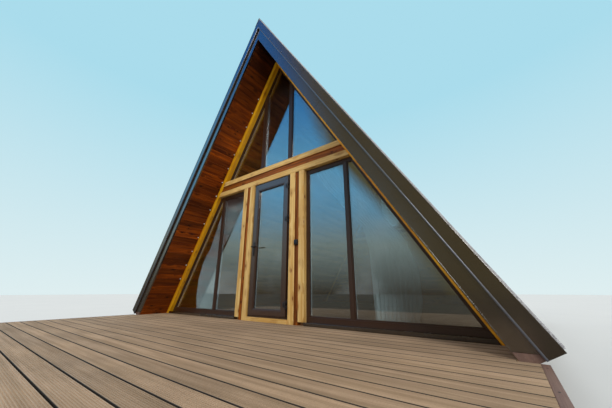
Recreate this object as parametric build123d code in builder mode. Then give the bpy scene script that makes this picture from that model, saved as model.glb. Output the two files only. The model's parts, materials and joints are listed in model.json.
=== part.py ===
# A small timber A-frame cabin on a low platform, with a terrace in front of its glazed gable.
# Millimetres. X runs across the cabin, Y from the terrace to the rear gable, Z up from the ground.
# The origin is on the ground, under the middle of the whole building.
import os
from math import cos, radians, sin, tan

from build123d import *

# Roof
ROOF_PITCH = 60.0             # degrees from level
RIDGE_HEIGHT = 4812.0         # underside of the soffit at the ridge, above the terrace
ROOF_FOOT_DROP = 53.0         # soffit corner at the foot, below the terrace
SOFFIT_BOARD = 18.0
ROOF_PANEL = 202.0
COVERING = 30.0               # shingles on their boarding and underlay
COVERING_LAP = 18.0           # how far the covering stands back from the flashing's face
EAVES_TRIM = 20.0
RIDGE_CAP_WING = 175.0
RIDGE_CAP_SHEET = 6.0
VERGE_OVERHANG = 532.0
BARGE_THICKNESS = 25.0
FLASHING_THICKNESS = 18.0
FLASHING_STEP = 132.0         # inner edge of the flashing, measured square from the soffit
FLASHING_BACK = 15.0          # how far the flashing's outer edge stays inside the covering's face

# Base and terrace
DECK_HEIGHT = 300.0           # terrace above the ground
CABIN_LENGTH = 6000.0
DECK_REACH = 3000.0           # terrace in front of the gable
DECK_SIDE_MARGIN = 80.0       # terrace boards beyond the side of the floor platform
DECK_BOARD = 28.0
DECK_JOIST_WIDTH = 45.0
DECK_JOIST_DEPTH = 120.0
DECK_JOIST_COUNT = 12
DECK_JOIST_MARGIN = 140.0     # from the terrace's side to the middle of the outermost joist
DECK_TRIM = 46.0
BOARD_GAP = 5.0
BEARER = 90.0
PAD_SIZE = 300.0
PLATFORM_UNDER = 148.0        # underside of the floor platform, below the terrace
FLOOR_RISE = 40.0             # finished floor and window sills, above the terrace
BEARER_MARGIN = 160.0         # from the platform's side to the middle of the outermost bearer
PAD_MARGIN = 200.0            # from a bearer's end to the middle of its last pad
DECK_PAD_MARGIN = 450.0

# Gable frames
FRAME_DEPTH = 150.0
RAFTER_WIDTH = 76.0
BEAM_UNDERSIDE = 2170.0       # above the terrace
BEAM_LOWER_TIMBER = 90.0
BEAM_STRIP = 107.0
BEAM_UPPER_TIMBER = 88.0
STRIP_RECESS = 15.0

# Door posts and threshold
POST_INNER_PLANK = 104.0
POST_STRIP = 69.0
POST_OUTER_PLANK = 96.0
POST_PLANK_DEPTH = 65.0
THRESHOLD_HEIGHT = 56.0
THRESHOLD_NOSE = 12.0

# Door
DOOR_OPENING = 812.0
DOOR_JAMB_FACE = 34.0         # beside the leaf; the stop behind it is wider
DOOR_HEAD_FACE = 14.0
DOOR_FRAME_SETBACK = 25.0
DOOR_FRAME_DEPTH = 90.0
DOOR_SILL_STRIP = 23.0
DOOR_STOP = 40.0
DOOR_GAP = 6.0
LEAF_THICKNESS = 66.0
LEAF_STILE = 94.0
LEAF_TOP_RAIL = 116.0
LEAF_BOTTOM_RAIL = 87.0
LEAF_GLASS_SETBACK = 30.0
HINGE_RADIUS = 8.0
HINGE_LENGTH = 100.0
HINGE_STANDOFF = 10.0         # hinge axis in front of the leaf
HINGE_WING = 22.0
HINGE_WING_SHEET = 8.0
HINGE_PLAY = 0.3
HINGE_HEIGHTS = (240.0, 1450.0, 1985.0)
HANDLE_HEIGHT = 1055.0        # middle of the plate, above the terrace
HANDLE_PLATE_WIDTH = 30.0
HANDLE_PLATE_LENGTH = 220.0
HANDLE_PLATE_SHEET = 8.0
LEVER_RISE = 28.0             # lever above the middle of the plate
LEVER_LENGTH = 125.0
LEVER_THICKNESS = 16.0
LEVER_REACH = 50.0

# Windows
GLASS = 24.0
WINDOW_SETBACK = 65.0
WINDOW_FRAME_DEPTH = 82.0
WINDOW_STILE = 52.0
WINDOW_HEAD = 70.0
WINDOW_RAIL = 75.0
WINDOW_SLOPE_BAR = 39.0
WINDOW_GLASS_SETBACK = 18.0
MULLION_WIDTH = 73.0
SLOPE_PANE_TOP = 59.0         # top edge of the pane under the rafter
SILL_NOSE = 8.0
GABLE_SETBACK = 80.0
GABLE_RAIL = 60.0
GABLE_MULLION_MIDDLE = 319.0
GABLE_MULLION_WIDTH = 93.0

# Rear wall
REAR_WALL_RECESS = 25.0
REAR_WINDOW_WIDTH = 1000.0
REAR_WINDOW_HEIGHT = 1100.0
REAR_WINDOW_SILL = 850.0

# Bell and curtains
BELL_WIDTH = 60.0
BELL_HEIGHT = 75.0
BELL_DEPTH = 42.0
BELL_CORNER = 10.0
BELL_LEVEL = 1071.0
TRACK_DEPTH = 105.0
TRACK_HEIGHT = 30.0
TRACK_SIDE_GAP = 60.0
CURTAIN_THICKNESS = 70.0
CURTAIN_SETBACK = 30.0
CURTAIN_DROP = 0.3
CURTAIN_FLOOR_GAP = 12.0
CURTAIN_TIE_HEIGHT = 1200.0
CURTAIN_TIE_REACH = 86.0      # curtain edges beyond the mullion: at the tie, at the hem and where it bulges
CURTAIN_HEM_INNER = 146.0
CURTAIN_HEM_OUTER = 686.0
CURTAIN_WIDEST = 756.0
CURTAIN_WIDEST_HEIGHT = 560.0

SIDES = {"left": -1, "right": 1}
PITCH = radians(ROOF_PITCH)

# Levels above the ground
deck_top = DECK_HEIGHT
floor_top = deck_top + FLOOR_RISE
ridge_level = deck_top + RIDGE_HEIGHT
foot_level = deck_top - ROOF_FOOT_DROP
platform_under = deck_top - PLATFORM_UNDER
bearer_under = platform_under - BEARER
beam_under = deck_top + BEAM_UNDERSIDE
strip_under = beam_under + BEAM_LOWER_TIMBER
strip_top = strip_under + BEAM_STRIP
beam_top = strip_top + BEAM_UPPER_TIMBER
threshold_top = deck_top + THRESHOLD_HEIGHT

# Depths along Y: the two gable planes, and the outer faces of the flashing
deck_front_y = -(DECK_REACH + CABIN_LENGTH + VERGE_OVERHANG) / 2
front_y = deck_front_y + DECK_REACH
rear_y = front_y + CABIN_LENGTH
verge_front_y = front_y - VERGE_OVERHANG
verge_rear_y = rear_y + VERGE_OVERHANG
barge_front_y = verge_front_y + FLASHING_THICKNESS
barge_rear_y = verge_rear_y - FLASHING_THICKNESS
roof_front_y = barge_front_y + BARGE_THICKNESS
roof_rear_y = barge_rear_y - BARGE_THICKNESS


def across(y):
    """Upright plane across the cabin at depth y, seen from the terrace."""
    return Plane.XZ.offset(-y)


def slope_x(level, outside=0.0):
    """Where the right slope's line, this far square outside the soffit, stands at a level."""
    return (ridge_level + outside / cos(PITCH) - level) / tan(PITCH)


def ridge_at(outside):
    return ridge_level + outside / cos(PITCH)


def foot_corner(outside, raised=0.0):
    """Corner of the cut foot, this far outside the soffit and this far up the slope."""
    x = slope_x(foot_level) + outside * sin(PITCH) - raised * cos(PITCH)
    z = foot_level + outside * cos(PITCH) + raised * sin(PITCH)
    return x, z


def roof_layer(inner, outer, raised=0.0):
    """Right slope's section between two distances outside the soffit, plumb at the ridge."""
    foot = [foot_corner(outer, raised), foot_corner(inner, raised)]
    return [(0, ridge_at(inner)), (0, ridge_at(outer))] + foot


def on_side(points, side):
    return [(x * side, z) for x, z in points]


def platform_section(top):
    """Outline across the floor platform, fitted between the feet of the roof."""
    right = [(platform_half, platform_under), (platform_half, foot_level), (slope_x(top), top)]
    return right + [(-x, z) for x, z in reversed(right)]


# Distances from the middle, along X
platform_half = slope_x(foot_level)
deck_half = platform_half + DECK_SIDE_MARGIN
door_half = DOOR_OPENING / 2
post_strip_x = door_half + POST_INNER_PLANK
post_outer_plank_x = post_strip_x + POST_STRIP
post_outer_x = post_outer_plank_x + POST_OUTER_PLANK

# Base: pads, bearers, floor platform and sill beams
bearer_x = platform_half - BEARER_MARGIN
bearer_inner_x = bearer_x / 3
deck_bearer_ys = (deck_front_y + PAD_MARGIN, (deck_front_y + front_y) / 2, front_y - PAD_MARGIN)
cabin_pad_ys = (front_y + PAD_MARGIN, (front_y + rear_y) / 2, rear_y - PAD_MARGIN)
cabin_bearer_xs = (-bearer_x, -bearer_inner_x, bearer_inner_x, bearer_x)
deck_pad_x = deck_half - DECK_PAD_MARGIN
joist_x = deck_half - DECK_JOIST_MARGIN
pad_spots = [(x, y) for x in cabin_bearer_xs for y in cabin_pad_ys]
pad_spots += [(x, y) for x in (-deck_pad_x, 0, deck_pad_x) for y in deck_bearer_ys]
with BuildPart() as foundation_pads:
    with BuildSketch(Plane.XY):
        with Locations(*pad_spots):
            Rectangle(PAD_SIZE, PAD_SIZE)
    extrude(amount=bearer_under)

with BuildPart() as bearers:
    with BuildSketch(Plane.XY.offset(bearer_under)):
        for x in cabin_bearer_xs:
            with Locations((x, (front_y + rear_y) / 2)):
                Rectangle(BEARER, CABIN_LENGTH)
        for y in deck_bearer_ys:
            with Locations((0, y)):
                Rectangle(2 * joist_x + BEARER, BEARER)
    extrude(amount=BEARER)

with BuildPart() as floor_platform:
    with BuildSketch(across(front_y + FRAME_DEPTH)):
        Polygon(*platform_section(floor_top), align=None)
    extrude(amount=-(CABIN_LENGTH - 2 * FRAME_DEPTH))

with BuildPart() as sill_beams:
    for y in (front_y, rear_y - FRAME_DEPTH):
        with BuildSketch(across(y)):
            Polygon(*platform_section(deck_top), align=None)
        extrude(amount=-FRAME_DEPTH)

# Terrace: boards in two fields, joists and the trim boards round it
porch_half_width = slope_x(deck_top) - BOARD_GAP
porch_front_y = verge_front_y - BOARD_GAP
joist_pitch = 2 * joist_x / (DECK_JOIST_COUNT - 1)
trim_front_y = deck_front_y + DECK_TRIM
trim_depth = DECK_BOARD + DECK_JOIST_DEPTH

with BuildPart() as deck_boards:
    with BuildSketch(Plane.XY.offset(deck_top - DECK_BOARD)):
        with Locations((0, (trim_front_y + porch_front_y) / 2)):
            Rectangle(2 * deck_half, porch_front_y - trim_front_y)
        with Locations((0, (porch_front_y + BOARD_GAP + front_y) / 2)):
            Rectangle(2 * porch_half_width, front_y - porch_front_y - BOARD_GAP)
    extrude(amount=DECK_BOARD)

with BuildPart() as deck_joists:
    with BuildSketch(Plane.XY.offset(deck_top - trim_depth)):
        with Locations((0, (trim_front_y + front_y) / 2)):
            with GridLocations(joist_pitch, 0, DECK_JOIST_COUNT, 1):
                Rectangle(DECK_JOIST_WIDTH, front_y - trim_front_y)
    extrude(amount=DECK_JOIST_DEPTH)

with BuildPart() as deck_trim:
    with BuildSketch(Plane.XY.offset(deck_top - trim_depth)):
        for side in SIDES.values():
            trim_x = side * (deck_half + DECK_TRIM / 2)
            with Locations((trim_x, (deck_front_y + porch_front_y) / 2)):
                Rectangle(DECK_TRIM, porch_front_y - deck_front_y)
        with Locations((0, deck_front_y + DECK_TRIM / 2)):
            Rectangle(2 * (deck_half - BOARD_GAP), DECK_TRIM)
    extrude(amount=trim_depth)

# Roof, one slope at a time
panel_outer = SOFFIT_BOARD + ROOF_PANEL
covering_outer = panel_outer + COVERING
flashing_edge = covering_outer - FLASHING_BACK
roof = {}
for name, side in SIDES.items():
    with BuildPart() as soffit:
        for y, length in ((roof_front_y, front_y - roof_front_y), (rear_y, roof_rear_y - rear_y)):
            with BuildSketch(across(y)):
                Polygon(*on_side(roof_layer(0, SOFFIT_BOARD, EAVES_TRIM), side), align=None)
            extrude(amount=-length)
    roof["soffit_" + name] = soffit

    with BuildPart() as lining:
        with BuildSketch(across(front_y)):
            Polygon(*on_side(roof_layer(0, SOFFIT_BOARD, EAVES_TRIM), side), align=None)
        extrude(amount=-CABIN_LENGTH)
    roof["lining_" + name] = lining

    with BuildPart() as panel:
        with BuildSketch(across(roof_front_y)):
            Polygon(*on_side(roof_layer(SOFFIT_BOARD, panel_outer, EAVES_TRIM), side), align=None)
        extrude(amount=-(roof_rear_y - roof_front_y))
    roof["roof_panel_" + name] = panel

    with BuildPart() as covering:
        with BuildSketch(across(verge_front_y + COVERING_LAP)):
            Polygon(*on_side(roof_layer(panel_outer, covering_outer, EAVES_TRIM), side), align=None)
        extrude(amount=-(verge_rear_y - verge_front_y - 2 * COVERING_LAP))
    roof["shingles_" + name] = covering

    with BuildPart() as barge:
        for y in (barge_front_y, roof_rear_y):
            with BuildSketch(across(y)):
                Polygon(*on_side(roof_layer(0, panel_outer), side), align=None)
            extrude(amount=-BARGE_THICKNESS)
    roof["barge_board_" + name] = barge

    with BuildPart() as flashing:
        for y in (verge_front_y, barge_rear_y):
            with BuildSketch(across(y)):
                Polygon(*on_side(roof_layer(FLASHING_STEP, flashing_edge), side), align=None)
            extrude(amount=-FLASHING_THICKNESS)
    roof["verge_flashing_" + name] = flashing

trim_section = [foot_corner(0), foot_corner(0, EAVES_TRIM), foot_corner(panel_outer, EAVES_TRIM),
                foot_corner(panel_outer)]
with BuildPart() as eaves_trim:
    for side in SIDES.values():
        with BuildSketch(across(roof_front_y)):
            Polygon(*on_side(trim_section, side), align=None)
        extrude(amount=-(roof_rear_y - roof_front_y))

cap_outer = covering_outer + RIDGE_CAP_SHEET


def down_slope(outside, run):
    """Point on a slope's line, this far from the ridge down the slope."""
    x = outside * sin(PITCH) + run * cos(PITCH)
    return x, ridge_level + outside * cos(PITCH) - run * sin(PITCH)


cap_edge = RIDGE_CAP_WING - covering_outer * tan(PITCH)
cap_wing = [(0, ridge_at(covering_outer)), (0, ridge_at(cap_outer)), down_slope(cap_outer, cap_edge),
            down_slope(covering_outer, cap_edge)]
with BuildPart() as ridge_cap:
    with BuildSketch(across(verge_front_y)):
        Polygon(*cap_wing, align=None)
        mirror(about=Plane.YZ)
    extrude(amount=-(verge_rear_y - verge_front_y))

# Gable frames, front and rear: rafters and the tie beam between them
frame_ys = (front_y, rear_y - FRAME_DEPTH)


def beam_section(under, top):
    """Outline of a timber between the two rafters, its ends cut along them."""
    right = [(slope_x(under, -RAFTER_WIDTH), under), (slope_x(top, -RAFTER_WIDTH), top)]
    return right + [(-x, z) for x, z in reversed(right)]


rafter_section = [(0, ridge_at(-RAFTER_WIDTH)), (0, ridge_level), (slope_x(deck_top), deck_top),
                  (slope_x(deck_top, -RAFTER_WIDTH), deck_top)]
rafters = {}
for name, side in SIDES.items():
    with BuildPart() as rafter_pair:
        for y in frame_ys:
            with BuildSketch(across(y)):
                Polygon(*on_side(rafter_section, side), align=None)
            extrude(amount=-FRAME_DEPTH)
    rafters["rafters_" + name] = rafter_pair

with BuildPart() as tie_beam_timbers:
    for y in frame_ys:
        for under, top in ((beam_under, strip_under), (strip_top, beam_top)):
            with BuildSketch(across(y)):
                Polygon(*beam_section(under, top), align=None)
            extrude(amount=-FRAME_DEPTH)

# Door posts: planks in front, studs behind, and the threshold between them


def both_posts(x_from, x_to, y_from, y_to):
    """Plan of one upright on each side of the door."""
    for side in SIDES.values():
        with Locations((side * (x_from + x_to) / 2, (y_from + y_to) / 2)):
            Rectangle(x_to - x_from, y_to - y_from)


plank_back_y = front_y + POST_PLANK_DEPTH
inner_plank = (door_half, post_strip_x)
outer_plank = (post_outer_plank_x, post_outer_x)
with BuildPart() as post_planks:
    for plank, under in ((inner_plank, deck_top), (outer_plank, floor_top)):
        with BuildSketch(Plane.XY.offset(under)):
            both_posts(*plank, front_y, plank_back_y)
        extrude(amount=beam_under - under)

# Brown strips set back between the tie beam's timbers and between the planks of each post
with BuildPart() as recessed_strips:
    for y in (front_y + STRIP_RECESS, rear_y - FRAME_DEPTH):
        with BuildSketch(across(y)):
            Polygon(*beam_section(strip_under, strip_top), align=None)
        extrude(amount=-(FRAME_DEPTH - STRIP_RECESS))
    with BuildSketch(Plane.XY.offset(deck_top)):
        both_posts(post_strip_x, post_outer_plank_x, front_y + STRIP_RECESS, plank_back_y)
    extrude(amount=beam_under - deck_top)

with BuildPart() as post_studs:
    with BuildSketch(Plane.XY.offset(deck_top)):
        both_posts(door_half, post_outer_x, plank_back_y, front_y + FRAME_DEPTH)
    extrude(amount=beam_under - deck_top)

with BuildPart() as threshold:
    with BuildSketch(Plane.XY.offset(deck_top)):
        with Locations((0, front_y + (FRAME_DEPTH - THRESHOLD_NOSE) / 2)):
            Rectangle(DOOR_OPENING, FRAME_DEPTH + THRESHOLD_NOSE)
    extrude(amount=THRESHOLD_HEIGHT)

# Door frame: jambs, the stops behind them, and between them the head and the sill strip
door_face_y = front_y + DOOR_FRAME_SETBACK
door_frame_back_y = door_face_y + DOOR_FRAME_DEPTH
stop_y = front_y + LEAF_THICKNESS + DOOR_GAP
jamb_inner = door_half - DOOR_JAMB_FACE
stop_inner = jamb_inner - DOOR_STOP
head_under = beam_under - DOOR_HEAD_FACE
door_frame_height = beam_under - threshold_top
with BuildPart() as door_frame_jambs:
    with BuildSketch(Plane.XY.offset(threshold_top)):
        both_posts(jamb_inner, door_half, door_face_y, stop_y)
    extrude(amount=door_frame_height)

with BuildPart() as door_frame_stops:
    with BuildSketch(Plane.XY.offset(threshold_top)):
        both_posts(stop_inner, door_half, stop_y, door_frame_back_y)
    extrude(amount=door_frame_height)


def upright_rectangle(half_width, under, top, mode=Mode.ADD):
    with Locations((0, (under + top) / 2)):
        Rectangle(2 * half_width, top - under, mode=mode)


frame_steps = ((jamb_inner, head_under, door_face_y, stop_y),
               (stop_inner, head_under - DOOR_STOP, stop_y, door_frame_back_y))
with BuildPart() as door_frame_crosspieces:
    for half_width, under, y_from, y_to in frame_steps:
        with BuildSketch(across(y_from)):
            upright_rectangle(half_width, under, beam_under)
            upright_rectangle(half_width, threshold_top, threshold_top + DOOR_SILL_STRIP)
        extrude(amount=-(y_to - y_from))

# Door leaf with its pane, handle and hinges; it swings outwards on its right stile
leaf_half = jamb_inner - DOOR_GAP
leaf_under = threshold_top + DOOR_SILL_STRIP + DOOR_GAP
leaf_top = head_under - DOOR_GAP
pane_half = leaf_half - LEAF_STILE
pane_under = leaf_under + LEAF_BOTTOM_RAIL
pane_top = leaf_top - LEAF_TOP_RAIL

with BuildPart() as door_leaf:
    with BuildSketch(across(front_y)):
        upright_rectangle(leaf_half, leaf_under, leaf_top)
        upright_rectangle(pane_half, pane_under, pane_top, mode=Mode.SUBTRACT)
    extrude(amount=-LEAF_THICKNESS)

with BuildPart() as door_pane:
    with BuildSketch(across(front_y + LEAF_GLASS_SETBACK)):
        upright_rectangle(pane_half, pane_under, pane_top)
    extrude(amount=-GLASS)

hinge_x = leaf_half + DOOR_GAP / 2
hinge_y = front_y - HINGE_STANDOFF
knuckle = HINGE_LENGTH / 3


def hinge_plan(wing_x, wing_back_y):
    """Plan of a knuckle with its wing on the leaf or on the frame."""
    with Locations((hinge_x, hinge_y)):
        Circle(HINGE_RADIUS)
    with Locations((wing_x, (wing_back_y + front_y - HINGE_WING_SHEET) / 2)):
        Rectangle(HINGE_WING, wing_back_y - front_y + HINGE_WING_SHEET)


leaf_wing_x = leaf_half - HINGE_WING / 2
frame_wing_x = jamb_inner + HINGE_WING / 2
knuckle_start = (HINGE_PLAY - knuckle) / 2
with BuildPart() as hinge_leaf_wings:
    for height in HINGE_HEIGHTS:
        with BuildSketch(Plane.XY.offset(deck_top + height + knuckle_start)):
            hinge_plan(leaf_wing_x, front_y)
        extrude(amount=knuckle - HINGE_PLAY)

with BuildPart() as hinge_frame_wings:
    for height in HINGE_HEIGHTS:
        for offset in (-knuckle, knuckle):
            with BuildSketch(Plane.XY.offset(deck_top + height + offset + knuckle_start)):
                hinge_plan(frame_wing_x, door_face_y)
            extrude(amount=knuckle - HINGE_PLAY)

handle_x = -(leaf_half + pane_half) / 2
lever_level = deck_top + HANDLE_HEIGHT + LEVER_RISE
with BuildPart() as door_handle:
    with BuildSketch(across(front_y)):
        with Locations((handle_x, deck_top + HANDLE_HEIGHT)):
            Rectangle(HANDLE_PLATE_WIDTH, HANDLE_PLATE_LENGTH)
    extrude(amount=HANDLE_PLATE_SHEET)
    with BuildSketch(across(front_y - HANDLE_PLATE_SHEET)):
        with Locations((handle_x, lever_level)):
            Rectangle(LEVER_THICKNESS, LEVER_THICKNESS)
    extrude(amount=LEVER_REACH - HANDLE_PLATE_SHEET)
    with BuildSketch(across(front_y - LEVER_REACH)):
        with Locations((handle_x + (LEVER_LENGTH - LEVER_THICKNESS) / 2, lever_level)):
            Rectangle(LEVER_LENGTH, LEVER_THICKNESS)
    extrude(amount=LEVER_THICKNESS)

# Windows beside the door: a rectangular pane and a pane under the rafter, with a mullion between them
glass_under = floor_top + WINDOW_RAIL
glass_top = beam_under - WINDOW_HEAD
slope_line = -(RAFTER_WIDTH + WINDOW_SLOPE_BAR)
mullion_end = slope_x(glass_top, slope_line) - SLOPE_PANE_TOP
mullion_start = mullion_end - MULLION_WIDTH
stile_x = post_outer_x + WINDOW_STILE


def between(left_x, under, top, outside):
    """Outline from an upright line to the right slope's line this far outside the soffit."""
    return [(left_x, under), (left_x, top), (slope_x(top, outside), top), (slope_x(under, outside), under)]


window_outline = between(post_outer_x, floor_top, beam_under, -RAFTER_WIDTH)
straight_pane = [(stile_x, glass_under), (stile_x, glass_top), (mullion_start, glass_top),
                 (mullion_start, glass_under)]
slope_pane = between(mullion_end, glass_under, glass_top, slope_line)
window_y = front_y + WINDOW_SETBACK
with BuildPart() as window_frames:
    with BuildSketch(across(window_y)):
        for side in SIDES.values():
            Polygon(*on_side(window_outline, side), align=None)
            Polygon(*on_side(straight_pane, side), align=None, mode=Mode.SUBTRACT)
            Polygon(*on_side(slope_pane, side), align=None, mode=Mode.SUBTRACT)
    extrude(amount=-WINDOW_FRAME_DEPTH)

sill_end = slope_x(floor_top, -RAFTER_WIDTH)
sill_outline = [(post_outer_x, deck_top), (post_outer_x, floor_top), (sill_end, floor_top),
                (sill_end, deck_top)]
with BuildPart() as window_sills:
    for side in SIDES.values():
        with BuildSketch(across(front_y - SILL_NOSE)):
            Polygon(*on_side(sill_outline, side), align=None)
        extrude(amount=-(FRAME_DEPTH + SILL_NOSE))

# Gable windows over the tie beams: three panes between two mullions
gable_rail_top = beam_top + GABLE_RAIL
gable_outline = [(slope_x(beam_top, -RAFTER_WIDTH), beam_top), (0, ridge_at(-RAFTER_WIDTH)),
                 (-slope_x(beam_top, -RAFTER_WIDTH), beam_top)]
bar_inner = GABLE_MULLION_MIDDLE - GABLE_MULLION_WIDTH / 2
bar_outer = GABLE_MULLION_MIDDLE + GABLE_MULLION_WIDTH / 2


def under_slope(x):
    """Level of the gable glass's sloping edge at a distance from the middle."""
    return ridge_at(slope_line) - x * tan(PITCH)


middle_pane = [(-bar_inner, gable_rail_top), (-bar_inner, under_slope(bar_inner)), (0, under_slope(0)),
               (bar_inner, under_slope(bar_inner)), (bar_inner, gable_rail_top)]
side_pane = [(bar_outer, gable_rail_top), (bar_outer, under_slope(bar_outer)),
             (slope_x(gable_rail_top, slope_line), gable_rail_top)]
gable_frame_ys = (front_y + GABLE_SETBACK, rear_y - GABLE_SETBACK - WINDOW_FRAME_DEPTH)
with BuildPart() as gable_window_frames:
    for y in gable_frame_ys:
        with BuildSketch(across(y)):
            Polygon(*gable_outline, align=None)
            Polygon(*middle_pane, align=None, mode=Mode.SUBTRACT)
            for side in SIDES.values():
                Polygon(*on_side(side_pane, side), align=None, mode=Mode.SUBTRACT)
        extrude(amount=-WINDOW_FRAME_DEPTH)

# Rear wall: boarded under the tie beam, with one window in the middle
rear_wall_y = rear_y - FRAME_DEPTH
rear_wall_depth = FRAME_DEPTH - REAR_WALL_RECESS
rear_half = REAR_WINDOW_WIDTH / 2
rear_sill = deck_top + REAR_WINDOW_SILL
rear_head = rear_sill + REAR_WINDOW_HEIGHT
rear_side = between(rear_half, deck_top, beam_under, -RAFTER_WIDTH)
with BuildPart() as rear_wall_sides:
    with BuildSketch(across(rear_wall_y)):
        for side in SIDES.values():
            Polygon(*on_side(rear_side, side), align=None)
    extrude(amount=-rear_wall_depth)

with BuildPart() as rear_wall_middle:
    with BuildSketch(across(rear_wall_y)):
        upright_rectangle(rear_half, deck_top, rear_sill)
        upright_rectangle(rear_half, rear_head, beam_under)
    extrude(amount=-rear_wall_depth)

rear_pane = (rear_half - WINDOW_STILE, rear_sill + WINDOW_RAIL, rear_head - WINDOW_HEAD)
rear_frame_y = rear_y - WINDOW_SETBACK - WINDOW_FRAME_DEPTH
with BuildPart() as rear_window_frame:
    with BuildSketch(across(rear_frame_y)):
        upright_rectangle(rear_half, rear_sill, rear_head)
        upright_rectangle(*rear_pane, mode=Mode.SUBTRACT)
    extrude(amount=-WINDOW_FRAME_DEPTH)

# Panes of all the fixed windows
pane_y = window_y + WINDOW_GLASS_SETBACK
rear_pane_y = rear_y - WINDOW_SETBACK - WINDOW_GLASS_SETBACK - GLASS
gable_glass_setback = GABLE_SETBACK + WINDOW_GLASS_SETBACK
with BuildPart() as window_panes:
    with BuildSketch(across(pane_y)):
        for side in SIDES.values():
            Polygon(*on_side(straight_pane, side), align=None)
            Polygon(*on_side(slope_pane, side), align=None)
    extrude(amount=-GLASS)
    with BuildSketch(across(rear_pane_y)):
        upright_rectangle(*rear_pane)
    extrude(amount=-GLASS)
    for y in (front_y + gable_glass_setback, rear_y - gable_glass_setback - GLASS):
        with BuildSketch(across(y)):
            Polygon(*middle_pane, align=None)
            for side in SIDES.values():
                Polygon(*on_side(side_pane, side), align=None)
        extrude(amount=-GLASS)

# Bell on the right post, curtain tracks and curtains behind the lower windows
with BuildPart() as door_bell:
    with BuildSketch(across(front_y + STRIP_RECESS)):
        with Locations(((post_strip_x + post_outer_plank_x) / 2, deck_top + BELL_LEVEL)):
            Rectangle(BELL_WIDTH, BELL_HEIGHT)
    extrude(amount=BELL_DEPTH)
    fillet(door_bell.edges().filter_by(Axis.Y), radius=BELL_CORNER)

inside_y = front_y + FRAME_DEPTH
track_under = beam_under
track_start = post_outer_x + TRACK_SIDE_GAP
track_end = slope_x(track_under + TRACK_HEIGHT) - TRACK_SIDE_GAP
with BuildPart() as curtain_tracks:
    with BuildSketch(Plane.XY.offset(track_under)):
        for side in SIDES.values():
            with Locations((side * (track_start + track_end) / 2, inside_y + TRACK_DEPTH / 2)):
                Rectangle(track_end - track_start, TRACK_DEPTH)
    extrude(amount=TRACK_HEIGHT)

curtain_top = track_under - CURTAIN_DROP
curtain_under = floor_top + CURTAIN_FLOOR_GAP
tie_level = deck_top + CURTAIN_TIE_HEIGHT
curtain_outline = [(track_start, curtain_top), (track_end, curtain_top),
                   (mullion_end + CURTAIN_WIDEST, deck_top + CURTAIN_WIDEST_HEIGHT),
                   (mullion_end + CURTAIN_HEM_OUTER, curtain_under),
                   (mullion_end + CURTAIN_HEM_INNER, curtain_under),
                   (mullion_end + CURTAIN_TIE_REACH, tie_level)]
curtains = {}
for name, side in SIDES.items():
    with BuildPart() as curtain:
        with BuildSketch(across(inside_y + CURTAIN_SETBACK)):
            Polygon(*on_side(curtain_outline, side), align=None)
        extrude(amount=-CURTAIN_THICKNESS)
    curtains["curtain_" + name] = curtain

pieces = {
    "foundation_pads": foundation_pads,
    "bearers": bearers,
    "floor_platform": floor_platform,
    "sill_beams": sill_beams,
    "deck_boards": deck_boards,
    "deck_joists": deck_joists,
    "deck_trim": deck_trim,
    **roof,
    "eaves_trim": eaves_trim,
    "ridge_cap": ridge_cap,
    **rafters,
    "tie_beam_timbers": tie_beam_timbers,
    "post_planks": post_planks,
    "recessed_strips": recessed_strips,
    "post_studs": post_studs,
    "threshold": threshold,
    "door_frame_jambs": door_frame_jambs,
    "door_frame_stops": door_frame_stops,
    "door_frame_crosspieces": door_frame_crosspieces,
    "door_leaf": door_leaf,
    "door_pane": door_pane,
    "hinge_leaf_wings": hinge_leaf_wings,
    "hinge_frame_wings": hinge_frame_wings,
    "door_handle": door_handle,
    "window_frames": window_frames,
    "window_sills": window_sills,
    "gable_window_frames": gable_window_frames,
    "rear_wall_sides": rear_wall_sides,
    "rear_wall_middle": rear_wall_middle,
    "rear_window_frame": rear_window_frame,
    "window_panes": window_panes,
    "door_bell": door_bell,
    "curtain_tracks": curtain_tracks,
    **curtains,
}

os.makedirs("parts", exist_ok=True)
for label, piece in pieces.items():
    piece.part.label = label
    export_step(piece.part, f"parts/{label}.step")
    print(f"{label}: {len(piece.part.solids())} solids, {piece.part.volume / 1e9:.4f} m3")
print("hinge axis at", round(hinge_x, 2), round(hinge_y, 2))
print("room: front", round(front_y, 1), "rear", round(rear_y, 1), "floor", floor_top, "beam", beam_under)
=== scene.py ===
# %% [markdown]
# # A timber A-frame cabin with its terrace
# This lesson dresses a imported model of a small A-frame cabin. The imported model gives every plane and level.
# Each cell below makes one kind of piece as a joiner would cut it: a block is added at its size, sawn,
# grooved and bevelled, and then repeated. The lengths are metres, X runs across the cabin, Y runs from the
# terrace to the rear gable, and Z is up from the foot of the pads.

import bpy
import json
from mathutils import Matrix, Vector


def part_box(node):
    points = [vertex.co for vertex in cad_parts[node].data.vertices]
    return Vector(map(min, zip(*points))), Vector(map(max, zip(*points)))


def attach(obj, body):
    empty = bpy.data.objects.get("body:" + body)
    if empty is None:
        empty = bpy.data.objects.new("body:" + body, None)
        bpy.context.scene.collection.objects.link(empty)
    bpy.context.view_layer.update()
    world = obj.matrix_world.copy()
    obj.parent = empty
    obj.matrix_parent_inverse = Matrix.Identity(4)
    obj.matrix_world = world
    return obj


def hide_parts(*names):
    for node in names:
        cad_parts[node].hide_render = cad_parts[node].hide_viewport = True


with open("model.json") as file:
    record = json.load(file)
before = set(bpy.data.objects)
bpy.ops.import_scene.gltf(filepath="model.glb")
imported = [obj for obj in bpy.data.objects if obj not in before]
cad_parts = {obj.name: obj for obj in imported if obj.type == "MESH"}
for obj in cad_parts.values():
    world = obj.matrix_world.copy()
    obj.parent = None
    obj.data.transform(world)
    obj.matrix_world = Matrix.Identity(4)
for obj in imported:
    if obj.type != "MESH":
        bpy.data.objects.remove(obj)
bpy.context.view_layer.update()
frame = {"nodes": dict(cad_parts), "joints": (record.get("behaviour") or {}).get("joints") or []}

# %% What the lesson needs from Python and Blender
import json
import random
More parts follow.
